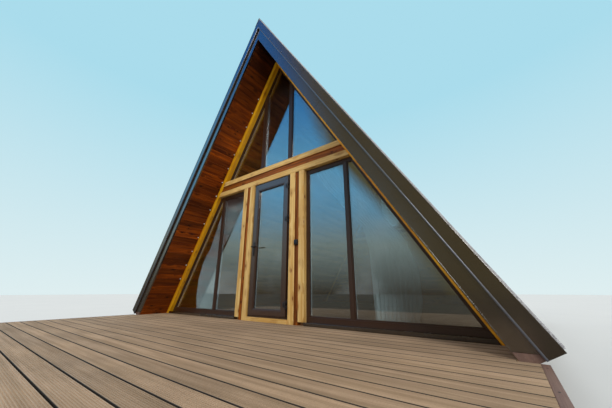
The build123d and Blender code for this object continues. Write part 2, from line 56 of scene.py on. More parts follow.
from math import ceil, cos, hypot, pi, radians, sin, tan

import bmesh
import bpy
from mathutils import Vector

# %% [markdown]
# The roof's two slopes set nearly every other line, so the pitch, the ridge and the foot come first. A place
# on a slope is easiest to say as two distances: how far it lies square outside the soffit, and how far it
# has run down from the ridge.

# %% Planes and levels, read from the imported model
PITCH = radians(60)
SIDES = {"left": -1, "right": 1}


def low(node):
    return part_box(node)[0]


def high(node):
    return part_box(node)[1]


FRONT = low("rafters_left").y
REAR = high("rafters_left").y
RIDGE = high("rafters_left").z
FOOT = low("barge_board_left").z
DECK = high("deck_boards").z
FLOOR = high("floor_platform").z
BEAM_UNDER = low("tie_beam_timbers").z
BEAM_TOP = high("tie_beam_timbers").z
MIDDLE_Y = (FRONT + REAR) / 2
FRAME_DEPTH = 0.150
print("gables at", round(FRONT, 3), round(REAR, 3), "ridge", round(RIDGE, 3), "deck", DECK)

# %% Distances on a slope
SLOPE = (RIDGE - FOOT) / sin(PITCH)


def slope_x(level, outside=0.0):
    """Where the right slope's line, this far outside the soffit, stands at a level."""
    return (RIDGE + outside / cos(PITCH) - level) / tan(PITCH)


def ridge_at(outside):
    return RIDGE + outside / cos(PITCH)


def on_slope(outside, run):
    """Point (x, z) on the right slope, this far outside the soffit and this far down from the ridge."""
    x = outside * sin(PITCH) + run * cos(PITCH)
    return x, RIDGE + outside * cos(PITCH) - run * sin(PITCH)


def slope_band(inner, outer, run_from, run_to):
    """Outline of a band on the right slope between two distances outside and two runs."""
    return [on_slope(inner, run_to), on_slope(outer, run_to),
            on_slope(outer, run_from), on_slope(inner, run_from)]


def ridge_band(inner, outer, run_to=SLOPE):
    """Outline of a band from the plumb cut at the ridge down to a run."""
    return [on_slope(inner, run_to), on_slope(outer, run_to), (0, ridge_at(outer)), (0, ridge_at(inner))]


def on_side(outline, side):
    return [(x * side, z) for x, z in outline]


def up_slope(side, run):
    """The step that leads this far up the slope of one side."""
    return (-side * run * cos(PITCH), 0, run * sin(PITCH))


print("length of a slope:", round(SLOPE, 3))

# %% [markdown]
# The camera stands low on the terrace at its right side, just outside the line of the soffit, and looks up at
# the ridge with a wide lens. Its place comes from lines of the gable whose real lengths are known.

# %% Camera
camera_data = bpy.data.cameras.new("terrace_view")
camera_data.sensor_width = 36
camera_data.lens = 15.168
camera_data.clip_start = 0.05
camera = bpy.data.objects.new("terrace_view", camera_data)
camera.location = (2.817, -4.589, 0.719)
camera.rotation_euler = (radians(90 + 18.62), 0, radians(36.65))
bpy.context.scene.collection.objects.link(camera)
bpy.context.scene.camera = camera
bpy.context.scene.view_settings.view_transform = "Standard"
print("lens:", camera_data.lens, "mm")

# %% [markdown]
# A few helpers do the joiner's work. `wake` picks one piece, `block` adds a box at its size and place,
# `saw` cuts along a plane, and `prism` saws a block down to an outline in the gable's plane. The tools of
# Blender act on all that is selected, so every helper first deselects everything else.

# %% Helpers that cut
SHORT = 0.0001


def wake(piece):
    """Makes one piece the only selected and the active one."""
    bpy.ops.object.select_all(action="DESELECT")
    piece.select_set(True)
    bpy.context.view_layer.objects.active = piece


def settle(piece, name):
    """Names a new piece and moves its place, turn and size into its mesh."""
    wake(piece)
    piece.name = name
    piece.data.name = name
    bpy.ops.object.transform_apply(location=True, rotation=True, scale=True)
    return piece


def block(name, corner, opposite):
    """A box between two opposite corners."""
    bpy.ops.object.select_all(action="DESELECT")
    middle = [(a + b) / 2 for a, b in zip(corner, opposite)]
    bpy.ops.mesh.primitive_cube_add(size=1, location=middle)
    piece = bpy.context.object
    piece.scale = [abs(b - a) for a, b in zip(corner, opposite)]
    return settle(piece, name)


def saw(piece, point, outward):
    """Cuts away what lies beyond a plane and closes the cut."""
    wake(piece)
    bpy.ops.object.mode_set(mode="EDIT")
    bpy.ops.mesh.select_all(action="SELECT")
    bpy.ops.mesh.bisect(plane_co=point, plane_no=Vector(outward).normalized(), use_fill=True,
                        clear_outer=True)
    bpy.ops.object.mode_set(mode="OBJECT")
    return piece


def anticlockwise(outline):
    """The outline in the order that keeps its inside on the left."""
    turned = sum(x * w - u * z for (x, z), (u, w) in zip(outline, outline[1:] + outline[:1]))
    return outline if turned > 0 else outline[::-1]


def prism(name, outline, near, far):
    """A block from near to far along Y, sawn to a convex outline of (x, z) points."""
    outline = anticlockwise(list(outline))
    xs = [x for x, z in outline]
    zs = [z for x, z in outline]
    piece = block(name, (min(xs), near, min(zs)), (max(xs), far, max(zs)))
    for (x, z), (u, w) in zip(outline, outline[1:] + outline[:1]):
        if abs(u - x) > SHORT and abs(w - z) > SHORT:
            saw(piece, (x, near, z), (w - z, 0, x - u))
    return piece


print("cutting helpers ready")

# %% [markdown]
# More helpers finish what is cut: modifiers that are applied at once, soft edges, copies in a row, copies
# mirrored about the middle of the cabin, and smooth shading of what is round. An empty at the middle serves
# as the mirror.

# %% Helpers that finish
mirror_mark = bpy.data.objects.new("mirror_mark", None)
mirror_mark.location = (0, MIDDLE_Y, 0)
bpy.context.scene.collection.objects.link(mirror_mark)
bpy.context.view_layer.update()


def modify(piece, kind, **settings):
    """Adds a modifier with its settings and applies it."""
    wake(piece)
    modifier = piece.modifiers.new(kind.lower(), kind)
    for setting, value in settings.items():
        setattr(modifier, setting, value)
    bpy.ops.object.modifier_apply(modifier=modifier.name)
    return piece


TIMBER_EDGE, SHEET_EDGE, FRAME_EDGE = 0.004, 0.003, 0.003


def soften(piece, width, segments=1):
    """Rounds off the edges where faces meet at more than 30 degrees."""
    return modify(piece, "BEVEL", width=width, segments=segments, limit_method="ANGLE",
                  angle_limit=radians(30))


def repeat(piece, count, step):
    """Sets copies of a piece in a row."""
    return modify(piece, "ARRAY", count=count, use_relative_offset=False, use_constant_offset=True,
                  constant_offset_displace=step)


def mirrored(piece, across=False, along=False):
    """Adds the mirrored copies: across X, along Y, or both."""
    return modify(piece, "MIRROR", use_axis=(across, along, False), mirror_object=mirror_mark,
                  use_mirror_merge=False)


def smooth_rounds(piece):
    """Shades what is round smooth and leaves the sharp edges sharp."""
    wake(piece)
    bpy.ops.object.shade_smooth_by_angle(angle=radians(40))


def join(pieces, name):
    """Makes several pieces one mesh."""
    bpy.ops.object.select_all(action="DESELECT")
    for piece in pieces:
        piece.select_set(True)
    bpy.context.view_layer.objects.active = pieces[0]
    bpy.ops.object.join()
    return settle(pieces[0], name)


def round_bar(name, middle, radius, length, axis, sides=16):
    """A cylinder about a middle point, lying along X, Y or Z."""
    turn = {"x": (0, pi / 2, 0), "y": (pi / 2, 0, 0), "z": (0, 0, 0)}[axis]
    bpy.ops.object.select_all(action="DESELECT")
    bpy.ops.mesh.primitive_cylinder_add(vertices=sides, radius=radius, depth=length, location=middle,
                                        rotation=turn)
    return settle(bpy.context.object, name)


print("finishing helpers ready")

# %% [markdown]
# Grain runs along a board, whichever way the board lies, and no two boards look alike. So each mesh carries
# two attributes: `grain`, every point's place measured along, across and through the board, and `board`, a
# number of its own for every separate board.

# %% Grain and board numbers
ALONG_X, ALONG_Y, ALONG_Z = Vector((1, 0, 0)), Vector((0, 1, 0)), Vector((0, 0, 1))


def down(side):
    """Direction down a slope."""
    return Vector((side * cos(PITCH), 0, -sin(PITCH)))


def lay_grain(piece, along):
    """Stores each point's place along, across and through the boards of a piece."""
    through = along.cross(ALONG_Y if abs(along.y) < 0.5 else ALONG_Z).normalized()
    across = through.cross(along)
    mesh = piece.data
    places = []
    for vertex in mesh.vertices:
        places += [vertex.co.dot(along), vertex.co.dot(across), vertex.co.dot(through)]
    mesh.attributes.new("grain", "FLOAT_VECTOR", "POINT").data.foreach_set("vector", places)


def number_boards(piece):
    """Gives each separate board of a piece its own number from 0 to 1."""
    mesh = piece.data
    draw = random.Random(piece.name)
    neighbours = [[] for _ in mesh.vertices]
    for edge in mesh.edges:
        a, b = edge.vertices
        neighbours[a].append(b)
        neighbours[b].append(a)
    numbers = [None] * len(neighbours)
    for start in range(len(numbers)):
        if numbers[start] is None:
            numbers[start] = draw.random()
            waiting = [start]
            while waiting:
                for other in neighbours[waiting.pop()]:
                    if numbers[other] is None:
                        numbers[other] = numbers[start]
                        waiting.append(other)
    mesh.attributes.new("board", "FLOAT", "POINT").data.foreach_set("value", numbers)


def dress(piece, slot, along=ALONG_X, replaces=(), body="cabin"):
    """Gives a finished piece its grain, its finish, its slot and its body."""
    wake(piece)
    bpy.ops.object.mode_set(mode="EDIT")
    bpy.ops.mesh.select_all(action="SELECT")
    bpy.ops.mesh.normals_make_consistent(inside=False)
    bpy.ops.object.mode_set(mode="OBJECT")
    lay_grain(piece, along)
    number_boards(piece)
    piece.data.materials.clear()
    piece.data.materials.append(finishes[slot])
    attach(piece, body)
    if replaces:
        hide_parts(*replaces)
    return piece


print("grain helpers ready")

# %% [markdown]
# Finishes are built from nodes. `place` adds a node, and `feed` links or sets its input sockets. `colour`
# turns a screen colour, as a painter would name it in eight-bit steps, into the linear colour that a shader
# needs.

# %% Helpers for shader nodes


def colour(red, green, blue):
    """Linear colour of a screen colour given from 0 to 255."""
    def linear(value):
        value /= 255
        return value / 12.92 if value <= 0.04045 else ((value + 0.055) / 1.055) ** 2.4
    return (linear(red), linear(green), linear(blue), 1.0)


def feed(tree, node, values):
    """Links or sets the named input sockets of a node."""
    for socket, value in values.items():
        if isinstance(value, bpy.types.NodeSocket):
            tree.links.new(value, node.inputs[socket])
        else:
            node.inputs[socket].default_value = value
    return node


def place(tree, kind, values=None, **settings):
    """Adds a node, sets its settings and feeds its input sockets."""
    node = tree.nodes.new("ShaderNode" + kind)
    for setting, value in settings.items():
        setattr(node, setting, value)
    return feed(tree, node, values or {})


def mix(tree, share, first, second, blend="MIX"):
    """Colour between two colours, or one colour laid over another."""
    values = {0: share, 6: first, 7: second}
    return place(tree, "Mix", values, data_type="RGBA", blend_type=blend).outputs[2]


def span(tree, value, start, end, to_start=0.0, to_end=1.0):
    """Maps a value from one range to another, clamped."""
    values = {"Value": value, "From Min": start, "From Max": end, "To Min": to_start, "To Max": to_end}
    return place(tree, "MapRange", values).outputs["Result"]


def maths(tree, operation, first, second=0.0):
    return place(tree, "Math", {0: first, 1: second}, operation=operation).outputs[0]


def times(tree, first, second):
    return maths(tree, "MULTIPLY", first, second)


print("node helpers ready")

# %% [markdown]
# The same few patterns come back in every finish: the place in the object, a noise over it, a pattern
# stretched along one direction, a tint laid over the colour, and a relief that only the light feels.

# %% Helpers for patterns


def object_place(tree):
    return place(tree, "TexCoord").outputs["Object"]


def noise(tree, spot, scale, detail=2.0, **more):
    """A soft noise from 0 to 1."""
    return place(tree, "TexNoise", {"Vector": spot, "Scale": scale, "Detail": detail, **more}).outputs["Fac"]


def stretched(tree, spot, scale):
    """A place whose three directions are scaled each by its own amount."""
    return place(tree, "Mapping", {"Vector": spot, "Scale": scale}, vector_type="POINT").outputs[0]


def board_number(tree):
    return place(tree, "Attribute", attribute_name="board").outputs["Fac"]


def shade_boards(tree, body, least, most):
    """Multiplies each board's colour by a grey that the board's number picks."""
    grey = span(tree, board_number(tree), 0.0, 1.0, least, most)
    grey = place(tree, "CombineColor", {0: grey, 1: grey, 2: grey}).outputs[0]
    return mix(tree, 1.0, body, grey, "MULTIPLY")


def emboss(tree, shader, height, strength, distance, invert=False):
    """Gives a finish a relief from a height pattern."""
    values = {"Height": height, "Strength": strength, "Distance": distance}
    feed(tree, shader, {"Normal": place(tree, "Bump", values, invert=invert).outputs[0]})


# This lays both the dirt along the terrace boards' edges and the painted shade near the ridge.
def lay_dirt_and_painted_shade(material, mask, tint):
    """Lays one more tint over a finished colour where the mask is high."""
    tree = material.node_tree
    base = tree.nodes["Principled BSDF"].inputs["Base Color"]
    tree.links.new(mix(tree, mask, base.links[0].from_socket, colour(*tint)), base)


print("pattern helpers ready")

# %% [markdown]
# An effect that several finishes share is a node group with named sockets, built once. `new_group` makes an
# empty one, `use_group` sets it into a material, and `new_finish` starts a material.

# %% Helpers for groups and materials


def new_group(name, inputs, outputs):
    """An empty node group with its sockets, what it is given, and the node at its end."""
    group = bpy.data.node_groups.new(name, "ShaderNodeTree")
    for socket, kind, value in inputs:
        made = group.interface.new_socket(name=socket, in_out="INPUT", socket_type="NodeSocket" + kind)
        if value is not None:
            made.default_value = value
    for socket in outputs:
        group.interface.new_socket(name=socket, in_out="OUTPUT", socket_type="NodeSocketFloat")
    return group, group.nodes.new("NodeGroupInput").outputs, group.nodes.new("NodeGroupOutput")


def use_group(tree, group, values):
    return place(tree, "Group", values, node_tree=group).outputs


def new_finish(name):
    """A material, its node tree and its Principled shader."""
    material = bpy.data.materials.new(name)
    material.use_nodes = True
    tree = material.node_tree
    return material, tree, tree.nodes["Principled BSDF"]


print("group helpers ready")

# %% [markdown]
# Sawn wood shows long fibres, wider bands of early and late wood, and knots that the bands flow round. One
# group makes all three from the board's own coordinates, shifted by the board's number. It is used by every
# timber here, from the pale pine posts to the stained boards under the roof.

# %% The wood grain group


def build_wood_grain():
    group, given, end = new_group(
        "wood_grain",
        [("Grain", "Vector", None), ("Board", "Float", 0.0), ("Knot Share", "Float", 0.3)],
        ["Bands", "Fibres", "Knots", "Halos", "Height"])
    shift = place(group, "CombineXYZ", {"X": times(group, given["Board"], 61.0),
                                        "Y": times(group, given["Board"], 17.0),
                                        "Z": times(group, given["Board"], 29.0)}).outputs[0]
    moved = place(group, "VectorMath", {0: given["Grain"], 1: shift}, operation="ADD").outputs[0]

    cells = stretched(group, moved, (5.2, 12.0, 12.0))
    spots = place(group, "TexVoronoi", {"Vector": cells, "Scale": 1.0, "Randomness": 0.9}).outputs
    picked = place(group, "SeparateColor", {"Color": spots["Color"]}).outputs[0]
    kept = maths(group, "LESS_THAN", picked, given["Knot Share"])
    knots = times(group, span(group, spots["Distance"], 0.17, 0.10), kept)
    halos = times(group, span(group, spots["Distance"], 0.55, 0.10), kept)

    bent = place(group, "VectorMath", {0: (0.0, 0.035, 0.035), "Scale": halos}, operation="SCALE").outputs[0]
    flowing = place(group, "VectorMath", {0: moved, 1: bent}, operation="ADD").outputs[0]
    bands = noise(group, stretched(group, flowing, (1.1, 26.0, 26.0)), 1.0, Distortion=0.3)
    fibres = noise(group, stretched(group, flowing, (7.0, 260.0, 260.0)), 1.0, 3.0)
    height = maths(group, "ADD", times(group, fibres, 0.6), times(group, bands, 0.4))
    height = maths(group, "ADD", height, times(group, knots, 0.5))
    feed(group, end, {"Bands": span(group, bands, 0.36, 0.66), "Fibres": span(group, fibres, 0.35, 0.65),
                      "Knots": knots, "Halos": halos, "Height": height})
    return group


wood_grain = build_wood_grain()
print("wood grain group:", len(wood_grain.nodes), "nodes")

# %% [markdown]
# Everything outdoors gathers dust and stains. This group lays soft blotches of a chosen size over any
# surface, and fine specks of dirt, all from plain object coordinates so that a stain runs on from board to
# board.

# %% The weather group


def build_weather():
    group, given, end = new_group(
        "weather", [("Place", "Vector", None), ("Blotch Size", "Float", 0.6)], ["Blotches", "Specks"])
    size = maths(group, "DIVIDE", 1.0, given["Blotch Size"])
    blotches = noise(group, given["Place"], size, 5.0, Roughness=0.6)
    specks = noise(group, given["Place"], 140.0)
    feed(group, end, {"Blotches": span(group, blotches, 0.38, 0.68),
                      "Specks": span(group, specks, 0.52, 0.72)})
    return group


weather = build_weather()
print("weather group:", len(weather.nodes), "nodes")

# %% [markdown]
# One function makes all the timber finishes. It mixes a light and a dark wood by the bands, darkens the
# fibres and the knots, lifts or lowers each board a little as a whole, and lets dust and stains lie over it.
# The carried-over nodes have no attributes, so they take object coordinates turned along X or Y.

# %% Timber finishes
FIBRE_RELIEF = 0.0006


def timber(name, light, dark, knot, knots=0.3, board_change=0.25, stain=(90, 80, 70), stained=0.15,
           roughness=(0.45, 0.65), lie="board", shine=0.5):
    material, tree, shader = new_finish(name)
    spot = object_place(tree)
    if lie == "board":
        grain = place(tree, "Attribute", attribute_name="grain").outputs["Vector"]
        board = board_number(tree)
    else:
        turn = {"x": 0.0, "y": pi / 2}[lie]
        grain = place(tree, "Mapping", {"Vector": spot, "Rotation": (0.0, 0.0, turn)}).outputs[0]
        board = 0.4
    wood = use_group(tree, wood_grain, {"Grain": grain, "Board": board, "Knot Share": knots})
    soiled = use_group(tree, weather, {"Place": spot, "Blotch Size": 0.7})
    body = mix(tree, wood["Bands"], colour(*light), colour(*dark))
    for mask, share, tint in (("Fibres", 0.35, dark), ("Halos", 0.4, knot), ("Knots", 0.9, knot)):
        body = mix(tree, times(tree, wood[mask], share), body, colour(*tint))
    if lie == "board":
        body = shade_boards(tree, body, 1.0 - board_change, 1.0 + board_change * 0.6)
    for mask, share in (("Blotches", stained), ("Specks", stained * 0.8)):
        body = mix(tree, times(tree, soiled[mask], share), body, colour(*stain))
    feed(tree, shader, {"Base Color": body, "Roughness": span(tree, wood["Height"], 0.3, 0.8, *roughness),
                        "Specular IOR Level": shine})
    emboss(tree, shader, wood["Height"], 0.6, FIBRE_RELIEF)
    return material


finishes = {}
TIMBERS = {
    "deck_boards": dict(light=(194, 168, 140), dark=(164, 140, 112), knot=(96, 80, 64), knots=0.0,
                        board_change=0.12, stain=(112, 94, 78), stained=0.3, roughness=(0.6, 0.85)),
    "deck_trim": dict(light=(128, 96, 84), dark=(96, 68, 60), knot=(70, 48, 44), knots=0.05,
                      stain=(150, 130, 116), stained=0.35, roughness=(0.5, 0.75)),
    "stained_boards": dict(light=(164, 78, 8), dark=(90, 34, 3), knot=(30, 12, 4), knots=0.5,
                           board_change=0.5, stain=(60, 28, 6), stained=0.4, shine=0.15),
    "lining_boards": dict(light=(214, 148, 34), dark=(158, 102, 16), knot=(84, 48, 22), board_change=0.2,
                          stained=0.05, shine=0.2),
    "golden_timber": dict(light=(255, 196, 30), dark=(226, 152, 12), knot=(110, 56, 12), knots=0.45,
                          stain=(170, 104, 16), stained=0.3, roughness=(0.3, 0.45), shine=0.35),
    "pale_pine": dict(light=(230, 200, 132), dark=(198, 156, 84), knot=(112, 54, 22), knots=0.6,
                      board_change=0.1, stain=(166, 116, 58), stained=0.25, shine=0.35),
    "brown_strips": dict(light=(168, 92, 26), dark=(100, 52, 14), knot=(44, 20, 8), knots=0.5,
                         stain=(90, 48, 14), stained=0.25, roughness=(0.4, 0.55), shine=0.2),
    "wall_boards": dict(light=(150, 76, 28), dark=(98, 46, 18), knot=(56, 26, 12), board_change=0.35,
                        stain=(80, 50, 34), stained=0.3),
}
for name, lie in (("frame_timber", "x"), ("frame_timber_lengthways", "y")):
    TIMBERS[name] = dict(light=(196, 160, 112), dark=(158, 120, 76), knot=(104, 68, 40), lie=lie,
                         stain=(110, 96, 80), stained=0.4, roughness=(0.6, 0.8))
for name, values in TIMBERS.items():
    finishes[name] = timber(name, **values)
print("timber finishes:", sorted(finishes))

# %% [markdown]
# The verge and the window frames are coated dark brown. A coating isn't mirror flat: it has a fine orange
# peel, dust that dulls it in patches, and faint drips. The colour hardly changes, and the roughness and the
# small relief carry the life.

# %% Coated metal and plastic finishes


def coated(name, base, dusty, roughness, dust=0.25, peel=0.00012, metallic=0.0, coat=0.0, gloss=1.5):
    material, tree, shader = new_finish(name)
    spot = object_place(tree)
    soiled = use_group(tree, weather, {"Place": spot, "Blotch Size": 0.45})
    drips = noise(tree, stretched(tree, spot, (30.0, 30.0, 1.6)), 1.0, 3.0)
    film = times(tree, span(tree, drips, 0.45, 0.75), soiled["Blotches"])
    film = times(tree, maths(tree, "ADD", film, times(tree, soiled["Specks"], 0.4)), dust)
    feed(tree, shader, {"Base Color": mix(tree, film, colour(*base), colour(*dusty)),
                        "Roughness": span(tree, soiled["Blotches"], 0.0, 1.0, *roughness),
                        "Metallic": metallic, "Coat Weight": coat, "Coat Roughness": 0.15,
                        "Coat IOR": gloss})
    emboss(tree, shader, noise(tree, spot, 420.0, 1.0), 0.5, peel)
    return material


COATINGS = {
    "brown_metal": dict(base=(30, 20, 8), dusty=(84, 66, 48), roughness=(0.2, 0.34), dust=0.1,
                        peel=0.00006, coat=1.0, gloss=2.25),
    # Painted highlight: the bead's pale bluish metal stands in for the sky glinting along it.
    "rubbed_metal": dict(base=(112, 118, 132), dusty=(100, 94, 88), roughness=(0.26, 0.38),
                         peel=0.00003, metallic=0.7),
    "window_brown": dict(base=(54, 31, 17), dusty=(96, 70, 48), roughness=(0.36, 0.48), dust=0.1, coat=0.3),
    "door_brown": dict(base=(56, 32, 19), dusty=(96, 76, 58), roughness=(0.3, 0.42), dust=0.1, coat=0.8,
                       gloss=1.8),
    "black_metal": dict(base=(22, 21, 22), dusty=(70, 68, 66), roughness=(0.3, 0.45), dust=0.12),
    "hinge_metal": dict(base=(30, 26, 30), dusty=(90, 84, 82), roughness=(0.3, 0.45), dust=0.12),
    "bell_plastic": dict(base=(14, 20, 32), dusty=(70, 78, 88), roughness=(0.25, 0.4), dust=0.15),
    "white_metal": dict(base=(226, 230, 232), dusty=(176, 172, 164), roughness=(0.35, 0.5), dust=0.2),
}
for name, values in COATINGS.items():
    finishes[name] = coated(name, **values)
print("coated finishes:", sorted(COATINGS))

# %% [markdown]
# Roof shingles are sheets of bitumen pressed with mineral granules. Cells of a fine Voronoi pattern each
# take their own grey, and their rims give the grain. Cast concrete for the pads is made the same way, with
# larger, softer marks.

# %% Granule finish for shingles and concrete


def granular(name, light, dark, grain_size, relief, tab_change=0.0):
    material, tree, shader = new_finish(name)
    spot = object_place(tree)
    cells = place(tree, "TexVoronoi", {"Vector": spot, "Scale": 1 / grain_size}).outputs
    own = place(tree, "SeparateColor", {"Color": cells["Color"]}).outputs[0]
    soiled = use_group(tree, weather, {"Place": spot, "Blotch Size": 0.9})
    body = mix(tree, own, colour(*dark), colour(*light))
    if tab_change:
        body = shade_boards(tree, body, 1.0 - tab_change, 1.0 + tab_change)
    body = mix(tree, times(tree, soiled["Blotches"], 0.16), body, colour(*dark))
    feed(tree, shader, {"Base Color": body, "Roughness": span(tree, own, 0.0, 1.0, 0.75, 0.95)})
    emboss(tree, shader, cells["Distance"], 0.7, relief, invert=True)
    return material


finishes["shingles"] = granular("shingles", (214, 215, 219), (122, 122, 127), 0.004, 0.0015, 0.28)
finishes["concrete"] = granular("concrete", (168, 164, 156), (132, 128, 120), 0.012, 0.0008)
print("granule finishes made")

# %% [markdown]
# The panes are coated insulating glass. Seen from the terrace they mirror the sky, and the room behind them
# stays dim. Real panes are never quite flat, so a slow wave bends the mirror image a little, and a film of
# dust dulls it in places. Metallic and Transmission stay plain numbers.

# %% Glass finish


def build_glass():
    material, tree, shader = new_finish("glass")
    spot = object_place(tree)
    soiled = use_group(tree, weather, {"Place": spot, "Blotch Size": 0.5})
    body = mix(tree, soiled["Blotches"], colour(214, 226, 230), colour(206, 220, 224))
    feed(tree, shader, {"Base Color": body,
                        "Roughness": span(tree, soiled["Specks"], 0.0, 1.0, 0.0, 0.03),
                        "Metallic": 0.0, "Transmission Weight": 1.0, "IOR": 2.6})
    emboss(tree, shader, noise(tree, spot, 1.7, 0.0), 0.3, 0.004)
    return material


finishes["glass"] = build_glass()
print("glass finish made")

# %% [markdown]
# Curtain cloth is a plain weave: threads over and under in both directions, with some threads thicker than
# others. The pattern follows the cloth, so it reads the mesh's own UV map.

# %% Curtain finish


def build_cloth():
    material, tree, shader = new_finish("curtain_cloth")
    flat = place(tree, "UVMap", uv_map="cloth").outputs[0]
    thread = {"Vector": flat, "Scale": 90.0, "Distortion": 0.6, "Detail": 1.0}
    threads = [place(tree, "TexWave", thread, wave_type="BANDS", bands_direction=axis) for axis in "XY"]
    weave = times(tree, *(wave.outputs["Fac"] for wave in threads))
    slubs = span(tree, noise(tree, flat, 14.0, 4.0), 0.35, 0.7)
    body = mix(tree, slubs, colour(244, 248, 248), colour(224, 234, 236))
    body = mix(tree, times(tree, weave, 0.25), body, colour(196, 210, 214))
    feed(tree, shader, {"Base Color": body, "Roughness": span(tree, weave, 0.0, 1.0, 0.8, 0.95),
                        "Sheen Weight": 0.3, "Sheen Roughness": 0.5})
    emboss(tree, shader, weave, 0.4, 0.0004)
    return material


finishes["curtain_cloth"] = build_cloth()
print("cloth finish made")

# %% [markdown]
# The terrace is laid with grooved boards across the cabin. One board is added at its size, its top is
# subdivided along its length, and every second strip is pressed down into a groove. The board is then
# repeated towards the gable. The roof comes down on both ends of the last boards, which are notched for it.

# %% Grooved terrace boards
BOARD_PITCH = 0.1398
BOARD_GAP = 0.009
GAP_BEFORE_GABLE = 1.330
GROOVES = 11
GROOVE_DEPTH = 0.0022
END_WASTE = 0.010
NOTCH_PLAY = 0.005
NOTCH_REACH, NOTCH_DEPTH = 4, 1
DIRT_START, DIRT_END = 0.001, 0.003


def grooved_board(name, half_length, near, far, under, top):
    board = soften(block(name, (-half_length, near, under), (half_length, far, top)), 0.002)
    wake(board)
    bpy.ops.object.mode_set(mode="EDIT")
    bpy.ops.mesh.select_all(action="DESELECT")
    mesh = bmesh.from_edit_mesh(board.data)
    for edge in mesh.edges:
        a, b = (vertex.co for vertex in edge.verts)
        if min(a.z, b.z) > top - SHORT and abs(a.x - b.x) < SHORT:
            edge.select_set(True)
    bmesh.update_edit_mesh(board.data)
    bpy.ops.mesh.subdivide(number_cuts=2 * GROOVES)
    bpy.ops.mesh.select_all(action="DESELECT")
    mesh = bmesh.from_edit_mesh(board.data)
    strips = [face for face in mesh.faces if min(v.co.z for v in face.verts) > top - SHORT]
    strips.sort(key=lambda face: face.calc_center_median().y)
    for strip in strips[1::2]:
        strip.select_set(True)
    bmesh.update_edit_mesh(board.data)
    bpy.ops.mesh.extrude_region_move(TRANSFORM_OT_translate={"value": (0, 0, -GROOVE_DEPTH)})
    bpy.ops.object.mode_set(mode="OBJECT")
    return board


def soil_joints(material, first):
    """Dirt along both edges of every board, so that the open joints read as dark lines."""
    tree = material.node_tree
    y = place(tree, "SeparateXYZ", {"Vector": object_place(tree)}).outputs["Y"]
    from_joint = maths(tree, "PINGPONG", maths(tree, "SUBTRACT", y, first), BOARD_PITCH / 2)
    edge = BOARD_GAP / 2
    lay_dirt_and_painted_shade(material, span(tree, from_joint, edge + DIRT_START, edge + DIRT_END, 0.96, 0.0), (26, 20, 16))


def terrace_boards():
    corner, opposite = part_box("deck_boards")
    first = FRONT - GAP_BEFORE_GABLE
    first -= BOARD_PITCH * ceil((first - corner.y) / BOARD_PITCH)
    soil_joints(finishes["deck_boards"], first)
    boards = grooved_board("deck_boards_laid", opposite.x + END_WASTE, first + BOARD_GAP / 2,
                           first + BOARD_PITCH - BOARD_GAP / 2, corner.z, opposite.z)
    repeat(boards, ceil((opposite.y - first) / BOARD_PITCH), (0, BOARD_PITCH, 0))
    for outward in ((0, -1, 0), (0, 1, 0), (-1, 0, 0), (1, 0, 0)):
        saw(boards, opposite if sum(outward) > 0 else corner, outward)
    notch_x = slope_x(DECK) - NOTCH_PLAY
    notch_y = low("verge_flashing_left").y - NOTCH_PLAY
    for side in SIDES.values():
        notch = block("notch", (side * notch_x, notch_y, 0),
                      (side * NOTCH_REACH, FRONT + NOTCH_DEPTH, NOTCH_DEPTH))
        modify(boards, "BOOLEAN", operation="DIFFERENCE", solver="EXACT", object=notch)
        bpy.data.objects.remove(notch)
    return dress(boards, "deck_boards", ALONG_X, ["deck_boards"])


terrace = terrace_boards()
print("terrace boards:", len(terrace.data.polygons), "faces")

# %% [markdown]
# A trim board stands on edge round the terrace, with its top level with the boards, and screws hold it down
# into the joists.

# %% Terrace trim
TRIM = 0.046
TRIM_JOINT = 0.005
SCREW_RADIUS = 0.005
SCREW_HEAD = 0.002
FIRST_SCREW = 0.06
SCREW_STEP = 0.46
SCREWS = 6


def terrace_trim():
    corner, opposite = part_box("deck_trim")
    inside = opposite.x - TRIM
    side_board = soften(block("trim_side", (inside, corner.y, corner.z), opposite), FRAME_EDGE, 2)
    mirrored(side_board, across=True)
    front_board = soften(block("trim_front", (TRIM_JOINT - inside, corner.y, corner.z),
                               (inside - TRIM_JOINT, corner.y + TRIM, opposite.z)), FRAME_EDGE, 2)
    dress(side_board, "deck_trim", ALONG_Y)
    dress(front_board, "deck_trim", ALONG_X)
    board = join([side_board, front_board], "deck_trim_boards")
    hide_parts("deck_trim")
    spot = (opposite.x - TRIM / 2, corner.y + FIRST_SCREW, opposite.z)
    screw = round_bar("trim_screws", spot, SCREW_RADIUS, SCREW_HEAD, "z", 10)
    repeat(screw, SCREWS, (0, SCREW_STEP, 0))
    mirrored(screw, across=True)
    dress(screw, "hinge_metal")
    return board


trim = terrace_trim()
print("trim:", len(trim.data.polygons), "faces")

# %% [markdown]
# Boards line the underside of each slope. They run along the cabin, so the same strip of board is repeated
# up the slope from the foot and cut plumb at the ridge. A small bevel on the long edges makes the V-shaped
# joint that shows as a dark line between two boards. Little light reaches the boards near the ridge, so a
# dark tint is laid over them there.

# %% Boards on the slopes
SOFFIT_PITCH = 0.110
SOFFIT_THICK = 0.018
EAVES_TRIM = 0.020
FIT = 0.001  # clearance between pieces that meet
DARK_FROM, DARK_TO = RIDGE - 1.5, RIDGE - 0.2


def paint_shade_towards_ridge(material):
    # Painted shade: a near-black tint over the boards high up under the ridge, where little light reaches.
    tree = material.node_tree
    height = place(tree, "SeparateXYZ", {"Vector": object_place(tree)}).outputs["Z"]
    lay_dirt_and_painted_shade(material, span(tree, height, DARK_FROM, DARK_TO, 0.0, 0.75), (14, 7, 5))


def slope_boards(name, side, near, far):
    """Boards that line the underside of a slope between two gables or verges."""
    end = SLOPE - EAVES_TRIM
    outline = slope_band(0, SOFFIT_THICK, end - SOFFIT_PITCH + FIT, end)
    boards = soften(prism(name, on_side(outline, side), near, far), TIMBER_EDGE)
    repeat(boards, ceil(end / SOFFIT_PITCH) + 1, up_slope(side, SOFFIT_PITCH))
    return saw(boards, (0, 0, 0), (-side, 0, 0))


